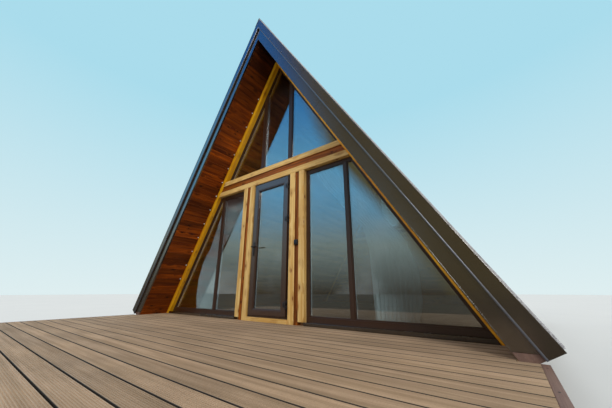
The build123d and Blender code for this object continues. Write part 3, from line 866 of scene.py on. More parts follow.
paint_shade_towards_ridge(finishes["stained_boards"])
for name, side in SIDES.items():
    boards = slope_boards("soffit_boards_" + name, side, low("soffit_" + name).y, FRONT - FIT)
    mirrored(boards, along=True)
    dress(boards, "stained_boards", ALONG_Y, ["soffit_" + name])
    inside = slope_boards("lining_boards_" + name, side, FRONT + FIT, REAR - FIT)
    dress(inside, "lining_boards", ALONG_Y, ["lining_" + name])
    print(name, "soffit boards:", len(boards.data.polygons), "faces")

# %% [markdown]
# The covering is made of staggered shingle tabs. One tab is a thin wedge that lies on the tab below and
# lifts its lower end. Rows of tabs are laid along the cabin from the foot up, and every second row is shifted
# by half a tab.

# %% Shingles
EXPOSURE = 0.145
TAB = 0.333
TAB_SLOT = 0.008
COVERING_INNER = 0.220
FLASHING_EDGE = 0.247
TAB_REST = 0.246
TAB_LIFT = 0.262
UNDERLAY = TAB_REST - 0.004
FIRST_TAB, ROW_SHIFT = 0.35, 0.5
VERGE_STRIP = 0.016


def tab_rows(name, side, near, far, end):
    """Two rows of tabs, one shifted along the other, repeated up the slope."""
    wedge = [on_slope(TAB_REST, end - EXPOSURE), on_slope(UNDERLAY, end), on_slope(TAB_LIFT, end),
             on_slope(TAB_REST + 0.002, end - EXPOSURE - 0.02)]
    rows = []
    for row in (0, 1):
        start = near - TAB * (FIRST_TAB + ROW_SHIFT * row)
        tab = prism("tabs", on_side(wedge, side), start, start + TAB - TAB_SLOT)
        repeat(tab, ceil((far - start) / TAB), (0, TAB, 0))
        tab.location = up_slope(side, row * EXPOSURE)
        settle(tab, "tabs")
        repeat(tab, ceil(end / EXPOSURE / 2) + 1, up_slope(side, 2 * EXPOSURE))
        rows.append(tab)
    return join(rows, "shingle_tabs_" + name)


def shingle_slope(name, side):
    near, far = low("shingles_" + name).y, high("shingles_" + name).y
    end = SLOPE - EAVES_TRIM
    tabs = tab_rows(name, side, near, far, end)
    saw(tabs, (0, near, 0), (0, -1, 0))
    saw(tabs, (0, far, 0), (0, 1, 0))
    saw(tabs, (0, 0, 0), (-side, 0, 0))
    under = on_side(ridge_band(COVERING_INNER, UNDERLAY, end), side)
    base = prism("shingle_underlay_" + name, under, near, far)
    strip = on_side(ridge_band(FLASHING_EDGE + FIT, TAB_LIFT + 0.002, end), side)
    edge = prism("shingle_edge", strip, near - VERGE_STRIP, near)
    mirrored(soften(edge, TIMBER_EDGE, 2), along=True)
    covering = join([base, tabs, edge], "shingle_covering_" + name)
    return dress(covering, "shingles", down(side), ["shingles_" + name])


for name, side in SIDES.items():
    covering = shingle_slope(name, side)
    print(name, "shingles:", len(covering.data.polygons), "faces")

# %% [markdown]
# The verge is clad in folded sheet metal in two steps. The inner sheet covers the barge board's face, and
# the outer sheet stands proud of it and starts with a rolled bead that catches the sky, its pale metal a
# painted highlight. Sheets are about two metres long and lap over each other, and a row of screws holds the
# outer one. A timber closes the cut foot.

# %% Verge metal
FLASHING_STEP = 0.132
BEAD = 0.013
BEAD_PROUD = 0.010
FOLD_WIDTH = 0.010
FOLD_FRONT, FOLD_BACK = 0.003, 0.004
LAP_RUNS = (1.71, 3.71)
LAP = 0.035
INNER_LAP_LOWER = 0.7
SHEET_END = 0.045
HEM = 0.007
VERGE_SCREW_RUNS = [0.35 + 0.62 * number for number in range(9)]


def above_foot(piece):
    """Ends a sheet a little above the deck."""
    return saw(piece, (0, 0, DECK + SHEET_END), (0, 0, -1))


def sheet_lap(side, inner, outer, run, near, proud, edge):
    """The strip where one sheet lies over the next."""
    outline = on_side(slope_band(inner, outer, run, run + LAP), side)
    return soften(prism("lap", outline, near - proud, near + 0.002), edge)


def cladding(name, side):
    near, far = low("barge_board_" + name).y, low("soffit_" + name).y
    sheet = prism("barge_metal_" + name, on_side(ridge_band(0, COVERING_INNER), side), near, far)
    parts = [soften(above_foot(sheet), SHEET_EDGE, 2)]
    fold = prism("fold", on_side(ridge_band(0, FOLD_WIDTH), side), near - FOLD_FRONT, near + FOLD_BACK)
    parts.append(soften(above_foot(fold), 0.0014, 2))
    for run in LAP_RUNS:
        run += INNER_LAP_LOWER
        parts.append(sheet_lap(side, 0.002, FLASHING_STEP - 0.002, run, near, 0.0015, 0.0007))
    piece = mirrored(join(parts, "barge_metal_" + name), along=True)
    dress(piece, "brown_metal", down(side), ["barge_board_" + name])
    core = on_side(ridge_band(0.003, COVERING_INNER - 0.002), side)
    foot = prism("barge_foot_" + name, core, near + 0.005, far)
    saw(foot, (0, 0, DECK + SHEET_END - 0.0005), (0, 0, 1))
    mirrored(soften(foot, FRAME_EDGE, 2), along=True)
    dress(foot, "deck_trim", down(side), ["barge_board_" + name])
    return piece


def verge_bead(name, side, near):
    """The rolled bead, in a pale bluish metal that is a painted highlight of the sky along it."""
    outline = on_side(ridge_band(FLASHING_STEP - 0.002, FLASHING_STEP + BEAD), side)
    bead = soften(prism("verge_bead_" + name, outline, near - BEAD_PROUD, near + 0.006), 0.0068, 4)
    mirrored(bead, along=True)
    smooth_rounds(bead)
    dress(bead, "brown_metal", down(side))
    bead.data.materials[0] = finishes["rubbed_metal"]


def flashing(name, side):
    near = low("verge_flashing_" + name).y
    far = low("barge_board_" + name).y
    plate = prism("plate", on_side(ridge_band(FLASHING_STEP, FLASHING_EDGE), side), near, far)
    parts = [soften(plate, 0.002, 2)]
    verge_bead(name, side, near)
    hem = on_side(ridge_band(FLASHING_EDGE - HEM, FLASHING_EDGE + 0.002), side)
    parts.append(soften(prism("hem", hem, near - 0.003, near + 0.006), 0.0015, 2))
    for run in LAP_RUNS:
        parts.append(sheet_lap(side, FLASHING_STEP + BEAD, FLASHING_EDGE - HEM, run, near, 0.0018, 0.0008))
    for run in VERGE_SCREW_RUNS:
        x, z = on_slope(FLASHING_STEP + BEAD + 0.012, run)
        screw = round_bar("screw", (side * x, near - 0.001, z), 0.006, 0.004, "y", 12)
        parts.append(soften(screw, 0.0012))
    piece = mirrored(join(parts, "verge_metal_" + name), along=True)
    return dress(piece, "brown_metal", down(side), ["verge_flashing_" + name])


for name, side in SIDES.items():
    inner_sheet = cladding(name, side)
    outer_sheet = flashing(name, side)
    print(name, "verge metal:", len(inner_sheet.data.polygons) + len(outer_sheet.data.polygons), "faces")

# %% [markdown]
# A folded cap covers the ridge, and a strip of the same metal closes the cut foot of each slope. The cap's
# lower edges are hemmed, and its sheets lap.

# %% Ridge cap and eaves trim
CAP_WING = 0.175
CAP_EDGE = CAP_WING - TAB_LIFT * tan(PITCH)
CAP_TOP = TAB_LIFT + 0.0035
CAP_LAP = 0.060
DRIP = 0.030


def ridge_metal():
    near, far = low("ridge_cap").y, high("ridge_cap").y
    parts = []
    for side in SIDES.values():
        wing = ridge_band(TAB_LIFT, CAP_TOP, CAP_EDGE)
        parts.append(prism("wing", on_side(wing, side), near, far))
        hem = slope_band(TAB_LIFT - 0.004, CAP_TOP + 0.0025, CAP_EDGE - 0.006, CAP_EDGE + 0.006)
        parts.append(soften(prism("hem", on_side(hem, side), near, far), SHEET_EDGE, 2))
        lap = ridge_band(CAP_TOP, CAP_TOP + 0.0015, CAP_EDGE)
        for number in (1, 2, 3):
            start = near + number * (far - near) / 4
            parts.append(prism("lap", on_side(lap, side), start, start + CAP_LAP))
    return dress(join(parts, "ridge_metal"), "brown_metal", ALONG_Y, ["ridge_cap"])


def eaves_metal():
    near, far = low("eaves_trim").y, high("eaves_trim").y
    start = SLOPE - EAVES_TRIM
    strip = slope_band(0, COVERING_INNER, start, SLOPE)
    drip = slope_band(COVERING_INNER - 0.004, COVERING_INNER + DRIP, start - 0.002, start + 0.006)
    parts = [soften(prism("strip", strip, near, far), SHEET_EDGE, 2),
             soften(prism("drip", drip, near, far), 0.002)]
    piece = mirrored(join(parts, "eaves_metal"), across=True)
    return dress(piece, "brown_metal", ALONG_Y, ["eaves_trim"])


ridge = ridge_metal()
eaves = eaves_metal()
for piece in (ridge, eaves):
    piece.data.materials[0] = finishes["window_brown"]
print("ridge and eaves:", len(ridge.data.polygons) + len(eaves.data.polygons), "faces")

# %% [markdown]
# The gable is framed by two rafters of varnished golden timber, cut plumb at the ridge and level at the
# deck. Between them sits the tie beam: two pale timbers with a brown strip set back between them. The rear
# gable has the same frame, so each timber is mirrored along the cabin.

# %% Rafters and tie beams
RAFTER = 0.076
STRIP_BACK = 0.015


def rafter_x(level):
    """Where the right rafter's inner face stands at a level."""
    return slope_x(level, -RAFTER)


def flipped(outline):
    """The outline on the other side of the middle, turning the same way."""
    return [(-x, z) for x, z in reversed(outline)]


def between_rafters(under, top):
    """Outline of a timber whose ends are cut along the rafters."""
    right = [(rafter_x(under), under), (rafter_x(top), top)]
    return right + flipped(right)


for name, side in SIDES.items():
    outline = [(0, ridge_at(-RAFTER)), (0, RIDGE), (slope_x(DECK), DECK), (rafter_x(DECK), DECK)]
    rafter = prism("rafter_pair_" + name, on_side(outline, side), FRONT, FRONT + FRAME_DEPTH)
    mirrored(soften(rafter, TIMBER_EDGE, 2), along=True)
    dress(rafter, "golden_timber", down(side), ["rafters_" + name])

STRIP_UNDER = BEAM_UNDER + 0.090
STRIP_TOP = STRIP_UNDER + 0.107
beam_parts = []
for under, top in ((BEAM_UNDER, STRIP_UNDER), (STRIP_TOP, BEAM_TOP)):
    beam = prism("beam", between_rafters(under, top), FRONT, FRONT + FRAME_DEPTH)
    beam_parts.append(soften(beam, TIMBER_EDGE, 2))
beams = mirrored(join(beam_parts, "tie_beams"), along=True)
dress(beams, "pale_pine", ALONG_X, ["tie_beam_timbers"])
print("gable timbers:", len(beams.data.polygons), "faces in the tie beams")

# %% [markdown]
# Each door post is a sandwich as well: two pale planks and a brown strip between them, set back so that it
# stays in shadow. Thin lips edge the strips. The threshold closes the door opening below.

# %% Posts, strips and threshold
DOOR_HALF = high("threshold").x
PLANK_BACK = FRONT + 0.065
STRIP_X = DOOR_HALF + 0.104
OUTER_PLANK_X = STRIP_X + 0.069
POST_OUTER = high("post_planks").x
LIP = 0.003
STRIP_FRONT = FRONT + STRIP_BACK
LIP_FRONT, LIP_BACK = FRONT + 0.002, STRIP_FRONT + 0.004

planks = []
for x_from, x_to, under in ((DOOR_HALF, STRIP_X, DECK), (OUTER_PLANK_X, POST_OUTER, FLOOR)):
    plank = block("plank", (x_from, FRONT, under), (x_to, PLANK_BACK, BEAM_UNDER))
    planks.append(soften(plank, TIMBER_EDGE, 2))
posts = mirrored(join(planks, "door_post_planks"), across=True)
dress(posts, "pale_pine", ALONG_Z, ["post_planks"])

under, top = STRIP_UNDER + FIT, STRIP_TOP - FIT
strip_parts = [prism("strip", between_rafters(under, top), STRIP_FRONT, FRONT + FRAME_DEPTH - 0.002)]
for level in (under, top - LIP):
    strip_parts.append(prism("lip", between_rafters(level, level + LIP), LIP_FRONT, LIP_BACK))
beam_strips = mirrored(join([soften(part, 0.001) for part in strip_parts], "beam_strips"), along=True)
dress(beam_strips, "brown_strips", ALONG_X)

start, end = STRIP_X + FIT, OUTER_PLANK_X - FIT
strip_parts = [block("post_strip", (start, STRIP_FRONT, DECK), (end, PLANK_BACK, BEAM_UNDER))]
for x in (start, end - LIP):
    strip_parts.append(block("lip", (x, LIP_FRONT, DECK + FIT), (x + LIP, LIP_BACK, BEAM_UNDER - FIT)))
post_strip = mirrored(join([soften(part, 0.001) for part in strip_parts], "post_strip"), across=True)
dress(post_strip, "brown_strips", ALONG_Z)
strips = join([beam_strips, post_strip], "brown_strips_set_back")
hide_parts("recessed_strips")

sill_low, sill_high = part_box("threshold")
threshold = soften(block("threshold_board", sill_low, sill_high), 0.006, 3)
dress(threshold, "pale_pine", ALONG_X, ["threshold"])
print("posts:", len(posts.data.polygons), "faces")

# %% [markdown]
# Every window and the door leaf is a frame of members that meet in mitres. `inner_corners` moves each side
# of an outline inwards by its own width, and `framing` saws one member for each side. The same two helpers
# make the glazing beads, the white inner frames and the spacer between the two sheets of glass.

# %% Helpers for frames


def inner_corners(outline, widths):
    """Corners of an outline whose sides have moved inwards by their widths."""
    lines = []
    for (x, z), (u, w), width in zip(outline, outline[1:] + outline[:1], widths):
        length = hypot(u - x, w - z)
        along = ((u - x) / length, (w - z) / length)
        lines.append(((x - along[1] * width, z + along[0] * width), along))
    corners = []
    for ((x, z), (a, b)), ((u, w), (c, d)) in zip(lines[-1:] + lines[:-1], lines):
        reach = ((u - x) * d - (w - z) * c) / (a * d - b * c)
        corners.append((x + reach * a, z + reach * b))
    return corners


def framing(name, outline, widths, near, far, edge=FRAME_EDGE):
    """Mitred members inside an outline given anticlockwise."""
    inner = inner_corners(outline, widths)
    members = []
    for number in range(len(outline)):
        after = (number + 1) % len(outline)
        corners = [outline[number], outline[after], inner[after], inner[number]]
        members.append(prism("member", corners, near, far))
    frame_piece = join(members, name)
    return soften(frame_piece, edge, 2) if edge else frame_piece


def even(outline, width):
    return [width] * len(outline)


def rectangle(x_from, under, x_to, top):
    return [(x_from, under), (x_to, under), (x_to, top), (x_from, top)]


def face_of(node):
    """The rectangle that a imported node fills, seen from the front."""
    corner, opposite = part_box(node)
    return rectangle(corner.x, corner.z, opposite.x, opposite.z)


def up_to_rafter(x, under, top):
    """Outline between an upright's edge at x and the right rafter."""
    return [(x, under), (rafter_x(under), under), (rafter_x(top), top), (x, top)]


print("frame helpers ready")

# %% Outlines of the windows
STILE, HEAD, RAIL, SLOPE_BAR = 0.052, 0.070, 0.075, 0.039
MULLION = 0.073
SLOPE_PANE_TOP = 0.059
GABLE_RAIL, GABLE_MULLION, GABLE_MIDDLE = 0.060, 0.093, 0.319
GLASS_LINE = -(RAFTER + SLOPE_BAR)
glass_under, glass_top = FLOOR + RAIL, BEAM_UNDER - HEAD
mullion_end = slope_x(glass_top, GLASS_LINE) - SLOPE_PANE_TOP
mullion_start = mullion_end - MULLION

window_outline = up_to_rafter(POST_OUTER, FLOOR, BEAM_UNDER)
straight_pane = rectangle(POST_OUTER + STILE, glass_under, mullion_start, glass_top)
slope_pane = [(mullion_end, glass_under), (slope_x(glass_under, GLASS_LINE), glass_under),
              (slope_x(glass_top, GLASS_LINE), glass_top), (mullion_end, glass_top)]

gable_under = BEAM_TOP + GABLE_RAIL
bar_inner, bar_outer = GABLE_MIDDLE - GABLE_MULLION / 2, GABLE_MIDDLE + GABLE_MULLION / 2


def glass_edge(x):
    """Level of the gable glass's sloping edge at a distance from the middle."""
    return ridge_at(GLASS_LINE) - abs(x) * tan(PITCH)


gable_outline = [(-rafter_x(BEAM_TOP), BEAM_TOP), (rafter_x(BEAM_TOP), BEAM_TOP), (0, ridge_at(-RAFTER))]
middle_pane = [(-bar_inner, gable_under), (bar_inner, gable_under), (bar_inner, glass_edge(bar_inner)),
               (0, glass_edge(0)), (-bar_inner, glass_edge(bar_inner))]
side_pane = [(bar_outer, gable_under), (slope_x(gable_under, GLASS_LINE), gable_under),
             (bar_outer, glass_edge(bar_outer))]
print("mullion from", round(mullion_start, 3), "to", round(mullion_end, 3))

# %% [markdown]
# A window is brown outside and white inside, and the white half shows through the glass as a pale strip at
# the side of every upright. So each frame is two layers: brown members in front of the glass and white ones
# behind it, with the same outline. Thin beads press the glass against the frame.

# %% Window frames
WINDOW_FRONT = low("window_frames").y
WINDOW_BACK = high("window_frames").y
GLASS_THICK = 0.024
BEAD_WIDTH = 0.014
WINDOW_GLASS = 0.018
LAYER_GAP = 0.0005
BEAD_FRONT = 0.005
INNER_BEAD = 0.016


def wider(outline, growth):
    """An outline whose sides have all moved outwards."""
    return inner_corners(outline, even(outline, -growth))


def frame_layers(name, outline, widths, bars, panes, front, back, glass_set):
    """A frame's brown outer layer with its beads, and its white inner layer, for one opening."""
    glass_near, glass_far = front + glass_set, front + glass_set + GLASS_THICK
    split = (glass_near + glass_far) / 2
    timber_widths = [width - BEAD_WIDTH for width in widths]
    inside = split + LAYER_GAP
    brown = [framing(name, outline, timber_widths, front, split)]
    white = [framing(name, outline, timber_widths, inside, back)]
    for bar in bars:
        brown.append(soften(prism("bar", bar, front, split), FRAME_EDGE, 2))
        white.append(soften(prism("bar", bar, inside, back), FRAME_EDGE, 2))
    for pane in panes:
        bead = wider(pane, BEAD_WIDTH)
        brown.append(framing("bead", bead, even(bead, BEAD_WIDTH), front + BEAD_FRONT, glass_near))
        white.append(framing("bead", bead, even(bead, BEAD_WIDTH), glass_far, glass_far + INNER_BEAD))
    return join(brown, name + "_outside"), join(white, name + "_inside")


def upright_bar(x_from, x_to, under, top_at):
    """A mullion between two beads, up to the member over it."""
    x_from, x_to = x_from + BEAD_WIDTH, x_to - BEAD_WIDTH
    under -= BEAD_WIDTH
    return [(x_from, under), (x_to, under), (x_to, top_at(x_to)), (x_from, top_at(x_from))]


def dress_layers(brown, white, node, body="cabin"):
    dress(brown, "window_brown", ALONG_Z, [node], body)
    dress(white, "white_metal", ALONG_Z, [node], body)


mullion_bar = upright_bar(mullion_start, mullion_end, glass_under, lambda x: glass_top + BEAD_WIDTH)
brown, white = frame_layers("window_frames", window_outline, (RAIL, SLOPE_BAR, HEAD, STILE), [mullion_bar],
                            [straight_pane, slope_pane], WINDOW_FRONT, WINDOW_BACK, WINDOW_GLASS)
mirrored(brown, across=True)
mirrored(white, across=True)
dress_layers(brown, white, "window_frames")
print("window frames:", len(brown.data.polygons), "faces")

# %% Gable window frames
gable_bar = upright_bar(bar_inner, bar_outer, gable_under, lambda x: glass_edge(x) + BEAD_WIDTH / cos(PITCH))
other_side_pane = flipped(side_pane)
gable_front = low("gable_window_frames").y
frame_depth = WINDOW_BACK - WINDOW_FRONT
brown, white = frame_layers("gable_frames", gable_outline, (GABLE_RAIL, SLOPE_BAR, SLOPE_BAR),
                            [gable_bar, flipped(gable_bar)], [middle_pane, side_pane, other_side_pane],
                            gable_front, gable_front + frame_depth, WINDOW_GLASS)
mirrored(brown, along=True)
mirrored(white, along=True)
dress_layers(brown, white, "gable_window_frames")
print("gable frames:", len(brown.data.polygons), "faces")

# %% [markdown]
# A pane of insulating glass is two sheets with a grey metal spacer between their edges. The sheets are sawn
# to each opening's outline, with the spacer as a frame of its own.

# %% Panes
SHEET = 0.004
SPACER = 0.010
GLASS_HELD = 0.008


def double_pane(outline, near):
    """Two sheets of glass held behind the beads, and the spacer between them."""
    outline = wider(outline, GLASS_HELD)
    outer = prism("sheet", outline, near, near + SHEET)
    inner = prism("sheet", outline, near + GLASS_THICK - SHEET, near + GLASS_THICK)
    spacer = framing("spacer", outline, even(outline, SPACER), near + SHEET, near + GLASS_THICK - SHEET, 0)
    return [outer, inner], spacer


sheets, spacers = [], []


def glaze(outline, near, **mirror):
    """Sets a double pane and its mirror image."""
    pane, spacer = double_pane(outline, near)
    sheets.append(mirrored(join(pane, "pane"), **mirror))
    spacers.append(mirrored(spacer, **mirror))


for outline in (straight_pane, slope_pane):
    glaze(outline, WINDOW_FRONT + WINDOW_GLASS, across=True)
for outline in (middle_pane, side_pane, other_side_pane):
    glaze(outline, gable_front + WINDOW_GLASS, along=True)
print("panes set, before the rear window:", len(sheets))

# %% Rear window
rear_low, rear_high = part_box("rear_window_frame")
rear_outline = face_of("rear_window_frame")
rear_widths = (RAIL, STILE, HEAD, STILE)
rear_pane = inner_corners(rear_outline, rear_widths)
rear_front = 2 * MIDDLE_Y - rear_high.y
brown, white = frame_layers("rear_frame", rear_outline, rear_widths, [], [rear_pane], rear_front,
                            rear_front + frame_depth, WINDOW_GLASS)
pane, spacer = double_pane(rear_pane, rear_front + WINDOW_GLASS)


def turned_to_rear(piece):
    """Mirrors a piece about the middle of the cabin's length, with no copy left in front."""
    for vertex in piece.data.vertices:
        vertex.co.y = 2 * MIDDLE_Y - vertex.co.y
    return piece


dress_layers(turned_to_rear(brown), turned_to_rear(white), "rear_window_frame")
sheets.append(turned_to_rear(join(pane, "pane")))
spacers.append(turned_to_rear(spacer))
glass = dress(join(sheets, "window_glass"), "glass", ALONG_Z, ["window_panes"])
glass.visible_shadow = False
dress(join(spacers, "window_spacers"), "hinge_metal", ALONG_Z)
print("glass:", len(glass.data.polygons), "faces")

# %% [markdown]
# The sill under each lower window is a dark metal flashing with a turned-down nose, seated on a timber.

# %% Window sills
sill_low, sill_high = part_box("window_sills")
COVER_UNDER, COVER_TOP = FLOOR - 0.004, FLOOR + 0.001
NOSE_UNDER, NOSE_THICK = FLOOR - 0.026, 0.004
core_outline = up_to_rafter(POST_OUTER, sill_low.z, FLOOR)
sill_core = soften(prism("sill", core_outline, FRONT - 0.002, sill_high.y), 0.003)
cover_outline = rectangle(POST_OUTER, COVER_UNDER, rafter_x(FLOOR), COVER_TOP)
sill_cover = soften(prism("cover", cover_outline, sill_low.y, WINDOW_FRONT), 0.0015, 2)
nose_outline = up_to_rafter(POST_OUTER, NOSE_UNDER, FLOOR)
sill_nose = soften(prism("nose", nose_outline, sill_low.y, sill_low.y + NOSE_THICK), 0.0015, 2)
sills = mirrored(join([sill_core, sill_cover, sill_nose], "window_sill_flashings"), across=True)
dress(sills, "brown_metal", ALONG_X, ["window_sills"])
print("sills:", len(sills.data.polygons), "faces")

# %% [markdown]
# The door frame is a pair of jambs and a head with a step that the leaf closes against, and a low metal
# strip on the threshold. A dark rubber seal runs along the step, and a black strip of painted shade runs
# along the front edge of the jambs.

# %% Door frame
jamb_low, jamb_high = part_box("door_frame_jambs")
STOP_BACK = high("door_frame_stops").y
DOOR_STOP = 0.040
JAMB_INNER = DOOR_HALF - 0.034
STOP_INNER = JAMB_INNER - DOOR_STOP
STOP_Y = jamb_high.y
HEAD_SHOWS = 0.014
SILL_STRIP = 0.023
head_under = BEAM_UNDER - HEAD_SHOWS


def door_members(x_inner, head, near, far, edge):
    """Two jambs and a head, mitred, from their outer edge at the opening to an inner line."""
    foot = jamb_low.z
    outer = [(DOOR_HALF, foot), (DOOR_HALF, BEAM_UNDER), (-DOOR_HALF, BEAM_UNDER), (-DOOR_HALF, foot)]
    inner = [(x_inner, foot), (x_inner, head), (-x_inner, head), (-x_inner, foot)]
    corners = zip(outer, outer[1:], inner[1:], inner)
    return [soften(prism("member", four, near, far), edge, 2) for four in corners]


face = door_members(JAMB_INNER, head_under, jamb_low.y, STOP_Y, FRAME_EDGE)
step = door_members(STOP_INNER, head_under - DOOR_STOP, STOP_Y + 0.0002, STOP_BACK, 0.002)
sill_strips = []
for half, near, far in ((JAMB_INNER, jamb_low.y, STOP_Y), (STOP_INNER, STOP_Y, STOP_BACK)):
    strip = block("strip", (-half, near, jamb_low.z), (half, far, jamb_low.z + SILL_STRIP))
    sill_strips.append(soften(strip, FRAME_EDGE, 2))
door_frame = join(face + step + sill_strips, "door_frame_members")
dress(door_frame, "window_brown", ALONG_Z,
      ["door_frame_jambs", "door_frame_stops", "door_frame_crosspieces"])
door_frame.data.materials[0] = finishes["door_brown"]
print("door frame:", len(door_frame.data.polygons), "faces")

# %% Door seal and painted shade strip
SEAL, SEAL_THICK = 0.010, 0.004
seal_and_shade_parts = []
# The strip on the step is a rubber seal. The strip along the jambs' front edge is black painted shade for the
# gap round the leaf.
for inner, far in ((JAMB_INNER - SEAL, STOP_Y), (JAMB_INNER + 0.002, jamb_low.y)):
    top, reach = head_under + inner - JAMB_INNER, inner + SEAL
    for member in door_members(inner, top, far - SEAL_THICK, far, 0.0005):
        for outward in (1, -1):
            saw(member, (outward * reach, 0, 0), (outward, 0, 0))
        seal_and_shade_parts.append(saw(member, (0, 0, top + SEAL), (0, 0, 1)))
seal_and_shade_strip = dress(join(seal_and_shade_parts, "door_seal"), "black_metal", ALONG_Z)
print("door seal:", len(seal_and_shade_strip.data.polygons), "faces")

# %% [markdown]
# The door leaf has two stiles and two rails round one tall pane. It is built in its closed place and rides
# on the door's own body, so it swings with the joint.

# %% Door leaf
leaf_low, leaf_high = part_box("door_leaf")
pane_low, pane_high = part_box("door_pane")
leaf_outline, leaf_pane = face_of("door_leaf"), face_of("door_pane")
leaf_stile = leaf_high.x - pane_high.x
leaf_widths = (pane_low.z - leaf_low.z, leaf_stile, leaf_high.z - pane_high.z, leaf_stile)
brown, white = frame_layers("door_leaf", leaf_outline, leaf_widths, [], [leaf_pane], leaf_low.y, leaf_high.y,
                            pane_low.y - leaf_low.y)
pane, spacer = double_pane(leaf_pane, pane_low.y)
dress_layers(brown, white, "door_leaf", "door")
brown.data.materials[0] = finishes["door_brown"]
door_glass = dress(join(pane, "door_glass"), "glass", ALONG_Z, ["door_pane"], "door")
door_glass.visible_shadow = False
spacer.name = "door_spacer"
dress(spacer, "hinge_metal", ALONG_Z, (), "door")
print("door leaf:", len(brown.data.polygons), "faces")

# %% [markdown]
# The handle is a long narrow plate with a lever above its middle and a key cylinder below it. Its lever is
# a flattened bar with a returned end.

# %% Door handle
handle_low, handle_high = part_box("door_handle")
PLATE_HALF, PLATE_THICK = 0.015, 0.008
LEVER_RISE, CYLINDER_RISE = 0.028, 0.060
plate_x, face_y = leaf_low.x + leaf_stile / 2, leaf_low.y
lever_z = (handle_low.z + handle_high.z) / 2 + LEVER_RISE


def boss(name, forward, level, radius, length):
    """A round part of the handle, its middle this far in front of the leaf."""
    return round_bar(name, (plate_x, face_y - forward, level), radius, length, "y", 24)


plate = soften(block("plate", (plate_x - PLATE_HALF, face_y - PLATE_THICK, handle_low.z),
                     (plate_x + PLATE_HALF, face_y, handle_high.z)), 0.004, 3)
neck = boss("neck", 0.030, lever_z, 0.009, 0.046)
collar = soften(boss("collar", 0.011, lever_z, 0.014, 0.010), 0.002)
lever_outline = [(plate_x - 0.009, lever_z - 0.009), (handle_high.x, lever_z - 0.006),
                 (handle_high.x, lever_z + 0.006), (plate_x - 0.009, lever_z + 0.009)]
lever = soften(prism("lever", lever_outline, handle_low.y, handle_low.y + 0.014), 0.005, 3)
lever_end = soften(block("end", (handle_high.x - 0.014, handle_low.y + 0.002, lever_z - 0.0055),
                         (handle_high.x - 0.001, face_y - 0.024, lever_z + 0.0055)), 0.004, 3)
cylinder = soften(boss("cylinder", 0.009, handle_low.z + CYLINDER_RISE, 0.008, 0.006), 0.001)
handle = join([plate, neck, collar, lever, lever_end, cylinder], "door_lever_handle")
smooth_rounds(handle)
dress(handle, "black_metal", ALONG_X, ["door_handle"], "door")
print("handle:", len(handle.data.polygons), "faces")

# %% [markdown]
# Three hinges carry the leaf. Each has a middle knuckle on the leaf and an outer pair on the frame, with a
# wing behind every knuckle, a cover over the leaf's wing, and a cap at each end of the pin.

# %% Hinges
HINGE_X, HINGE_Y = frame["joints"][0]["pos_m"][:2]
HINGE_LEVELS = [DECK + height for height in (0.240, 1.450, 1.985)]
KNUCKLE = 0.100 / 3
PLAY = 0.0003
BARREL_RADIUS = 0.008
PIN_CAP_RADIUS, PIN_CAP = 0.0065, 0.005
LEAF_WING, FRAME_WING = 0.048, 0.024
WING_START, WING_FRONT = 0.003, 0.0075


def knuckle_with_wing(level, wing_side, wing_back, wing_reach):
    """A knuckle at a level and the wing behind it, on one side of the pin."""
    half = (KNUCKLE - PLAY) / 2
    barrel = round_bar("barrel", (HINGE_X, HINGE_Y, level), BARREL_RADIUS, 2 * half, "z", 20)
    wing = block("wing", (HINGE_X, FRONT - WING_FRONT, level - half),
                 (HINGE_X + wing_side * wing_reach, wing_back, level + half))
    saw(wing, (HINGE_X + wing_side * WING_START, 0, 0), (-wing_side, 0, 0))
    return [soften(barrel, 0.0008), soften(wing, 0.0015)]


leaf_parts, frame_parts = [], []
for level in HINGE_LEVELS:
    leaf_parts += knuckle_with_wing(level, -1, FRONT, LEAF_WING)
    cover = block("cover", (HINGE_X - LEAF_WING, FRONT - 0.006, level - KNUCKLE),
                  (HINGE_X - 0.014, FRONT, level + KNUCKLE))
    leaf_parts.append(soften(cover, 0.003, 3))
    for end in (-1, 1):
        frame_parts += knuckle_with_wing(level + end * KNUCKLE, 1, jamb_low.y, FRAME_WING)
    for end in (-1, 1):
        cap_level = level + end * (1.5 * KNUCKLE + 0.002)
        cap = round_bar("cap", (HINGE_X, HINGE_Y, cap_level), PIN_CAP_RADIUS, PIN_CAP, "z", 20)
        frame_parts.append(soften(cap, 0.0015, 2))
leaf_hinges = join(leaf_parts, "leaf_hinge_knuckles")
frame_hinges = join(frame_parts, "frame_hinge_knuckles")
dress(leaf_hinges, "hinge_metal", ALONG_Z, ["hinge_leaf_wings"], "door")
dress(frame_hinges, "hinge_metal", ALONG_Z, ["hinge_frame_wings"])
smooth_rounds(leaf_hinges)
smooth_rounds(frame_hinges)
print("hinges:", len(leaf_hinges.data.polygons) + len(frame_hinges.data.polygons), "faces")

# %% [markdown]
# The bell is a small dark box with a rounded face and a round push in a shallow ring.

# %% Door bell
bell_low, bell_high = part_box("door_bell")
FACE_INSET = 0.007
PUSH_LOWER = 0.008
push_x, push_z = (bell_low.x + bell_high.x) / 2, (bell_low.z + bell_high.z) / 2 - PUSH_LOWER
bell_body = soften(block("body", (bell_low.x, bell_low.y + 0.004, bell_low.z), bell_high), 0.009, 4)
bell_face = block("face", (bell_low.x + FACE_INSET, bell_low.y + 0.001, bell_low.z + FACE_INSET),
                  (bell_high.x - FACE_INSET, bell_low.y + 0.010, bell_high.z - FACE_INSET))
ring = round_bar("ring", (push_x, bell_low.y + 0.002, push_z), 0.013, 0.004, "y", 32)
push = round_bar("push", (push_x, bell_low.y + 0.001, push_z), 0.009, 0.005, "y", 32)
bell_parts = [bell_body, soften(bell_face, 0.003, 3), soften(ring, 0.0012, 2), soften(push, 0.002, 3)]
bell = join(bell_parts, "door_bell_box")
smooth_rounds(bell)
dress(bell, "bell_plastic", ALONG_Z, ["door_bell"])
print("bell:", len(bell.data.polygons), "faces")

# %% [markdown]
# Small bulbs sit in the corner between the front rafters and the soffit, about every thirty centimetres. A
# bulb is a short dark socket and a pale globe, which Subdivision Surface rounds off.

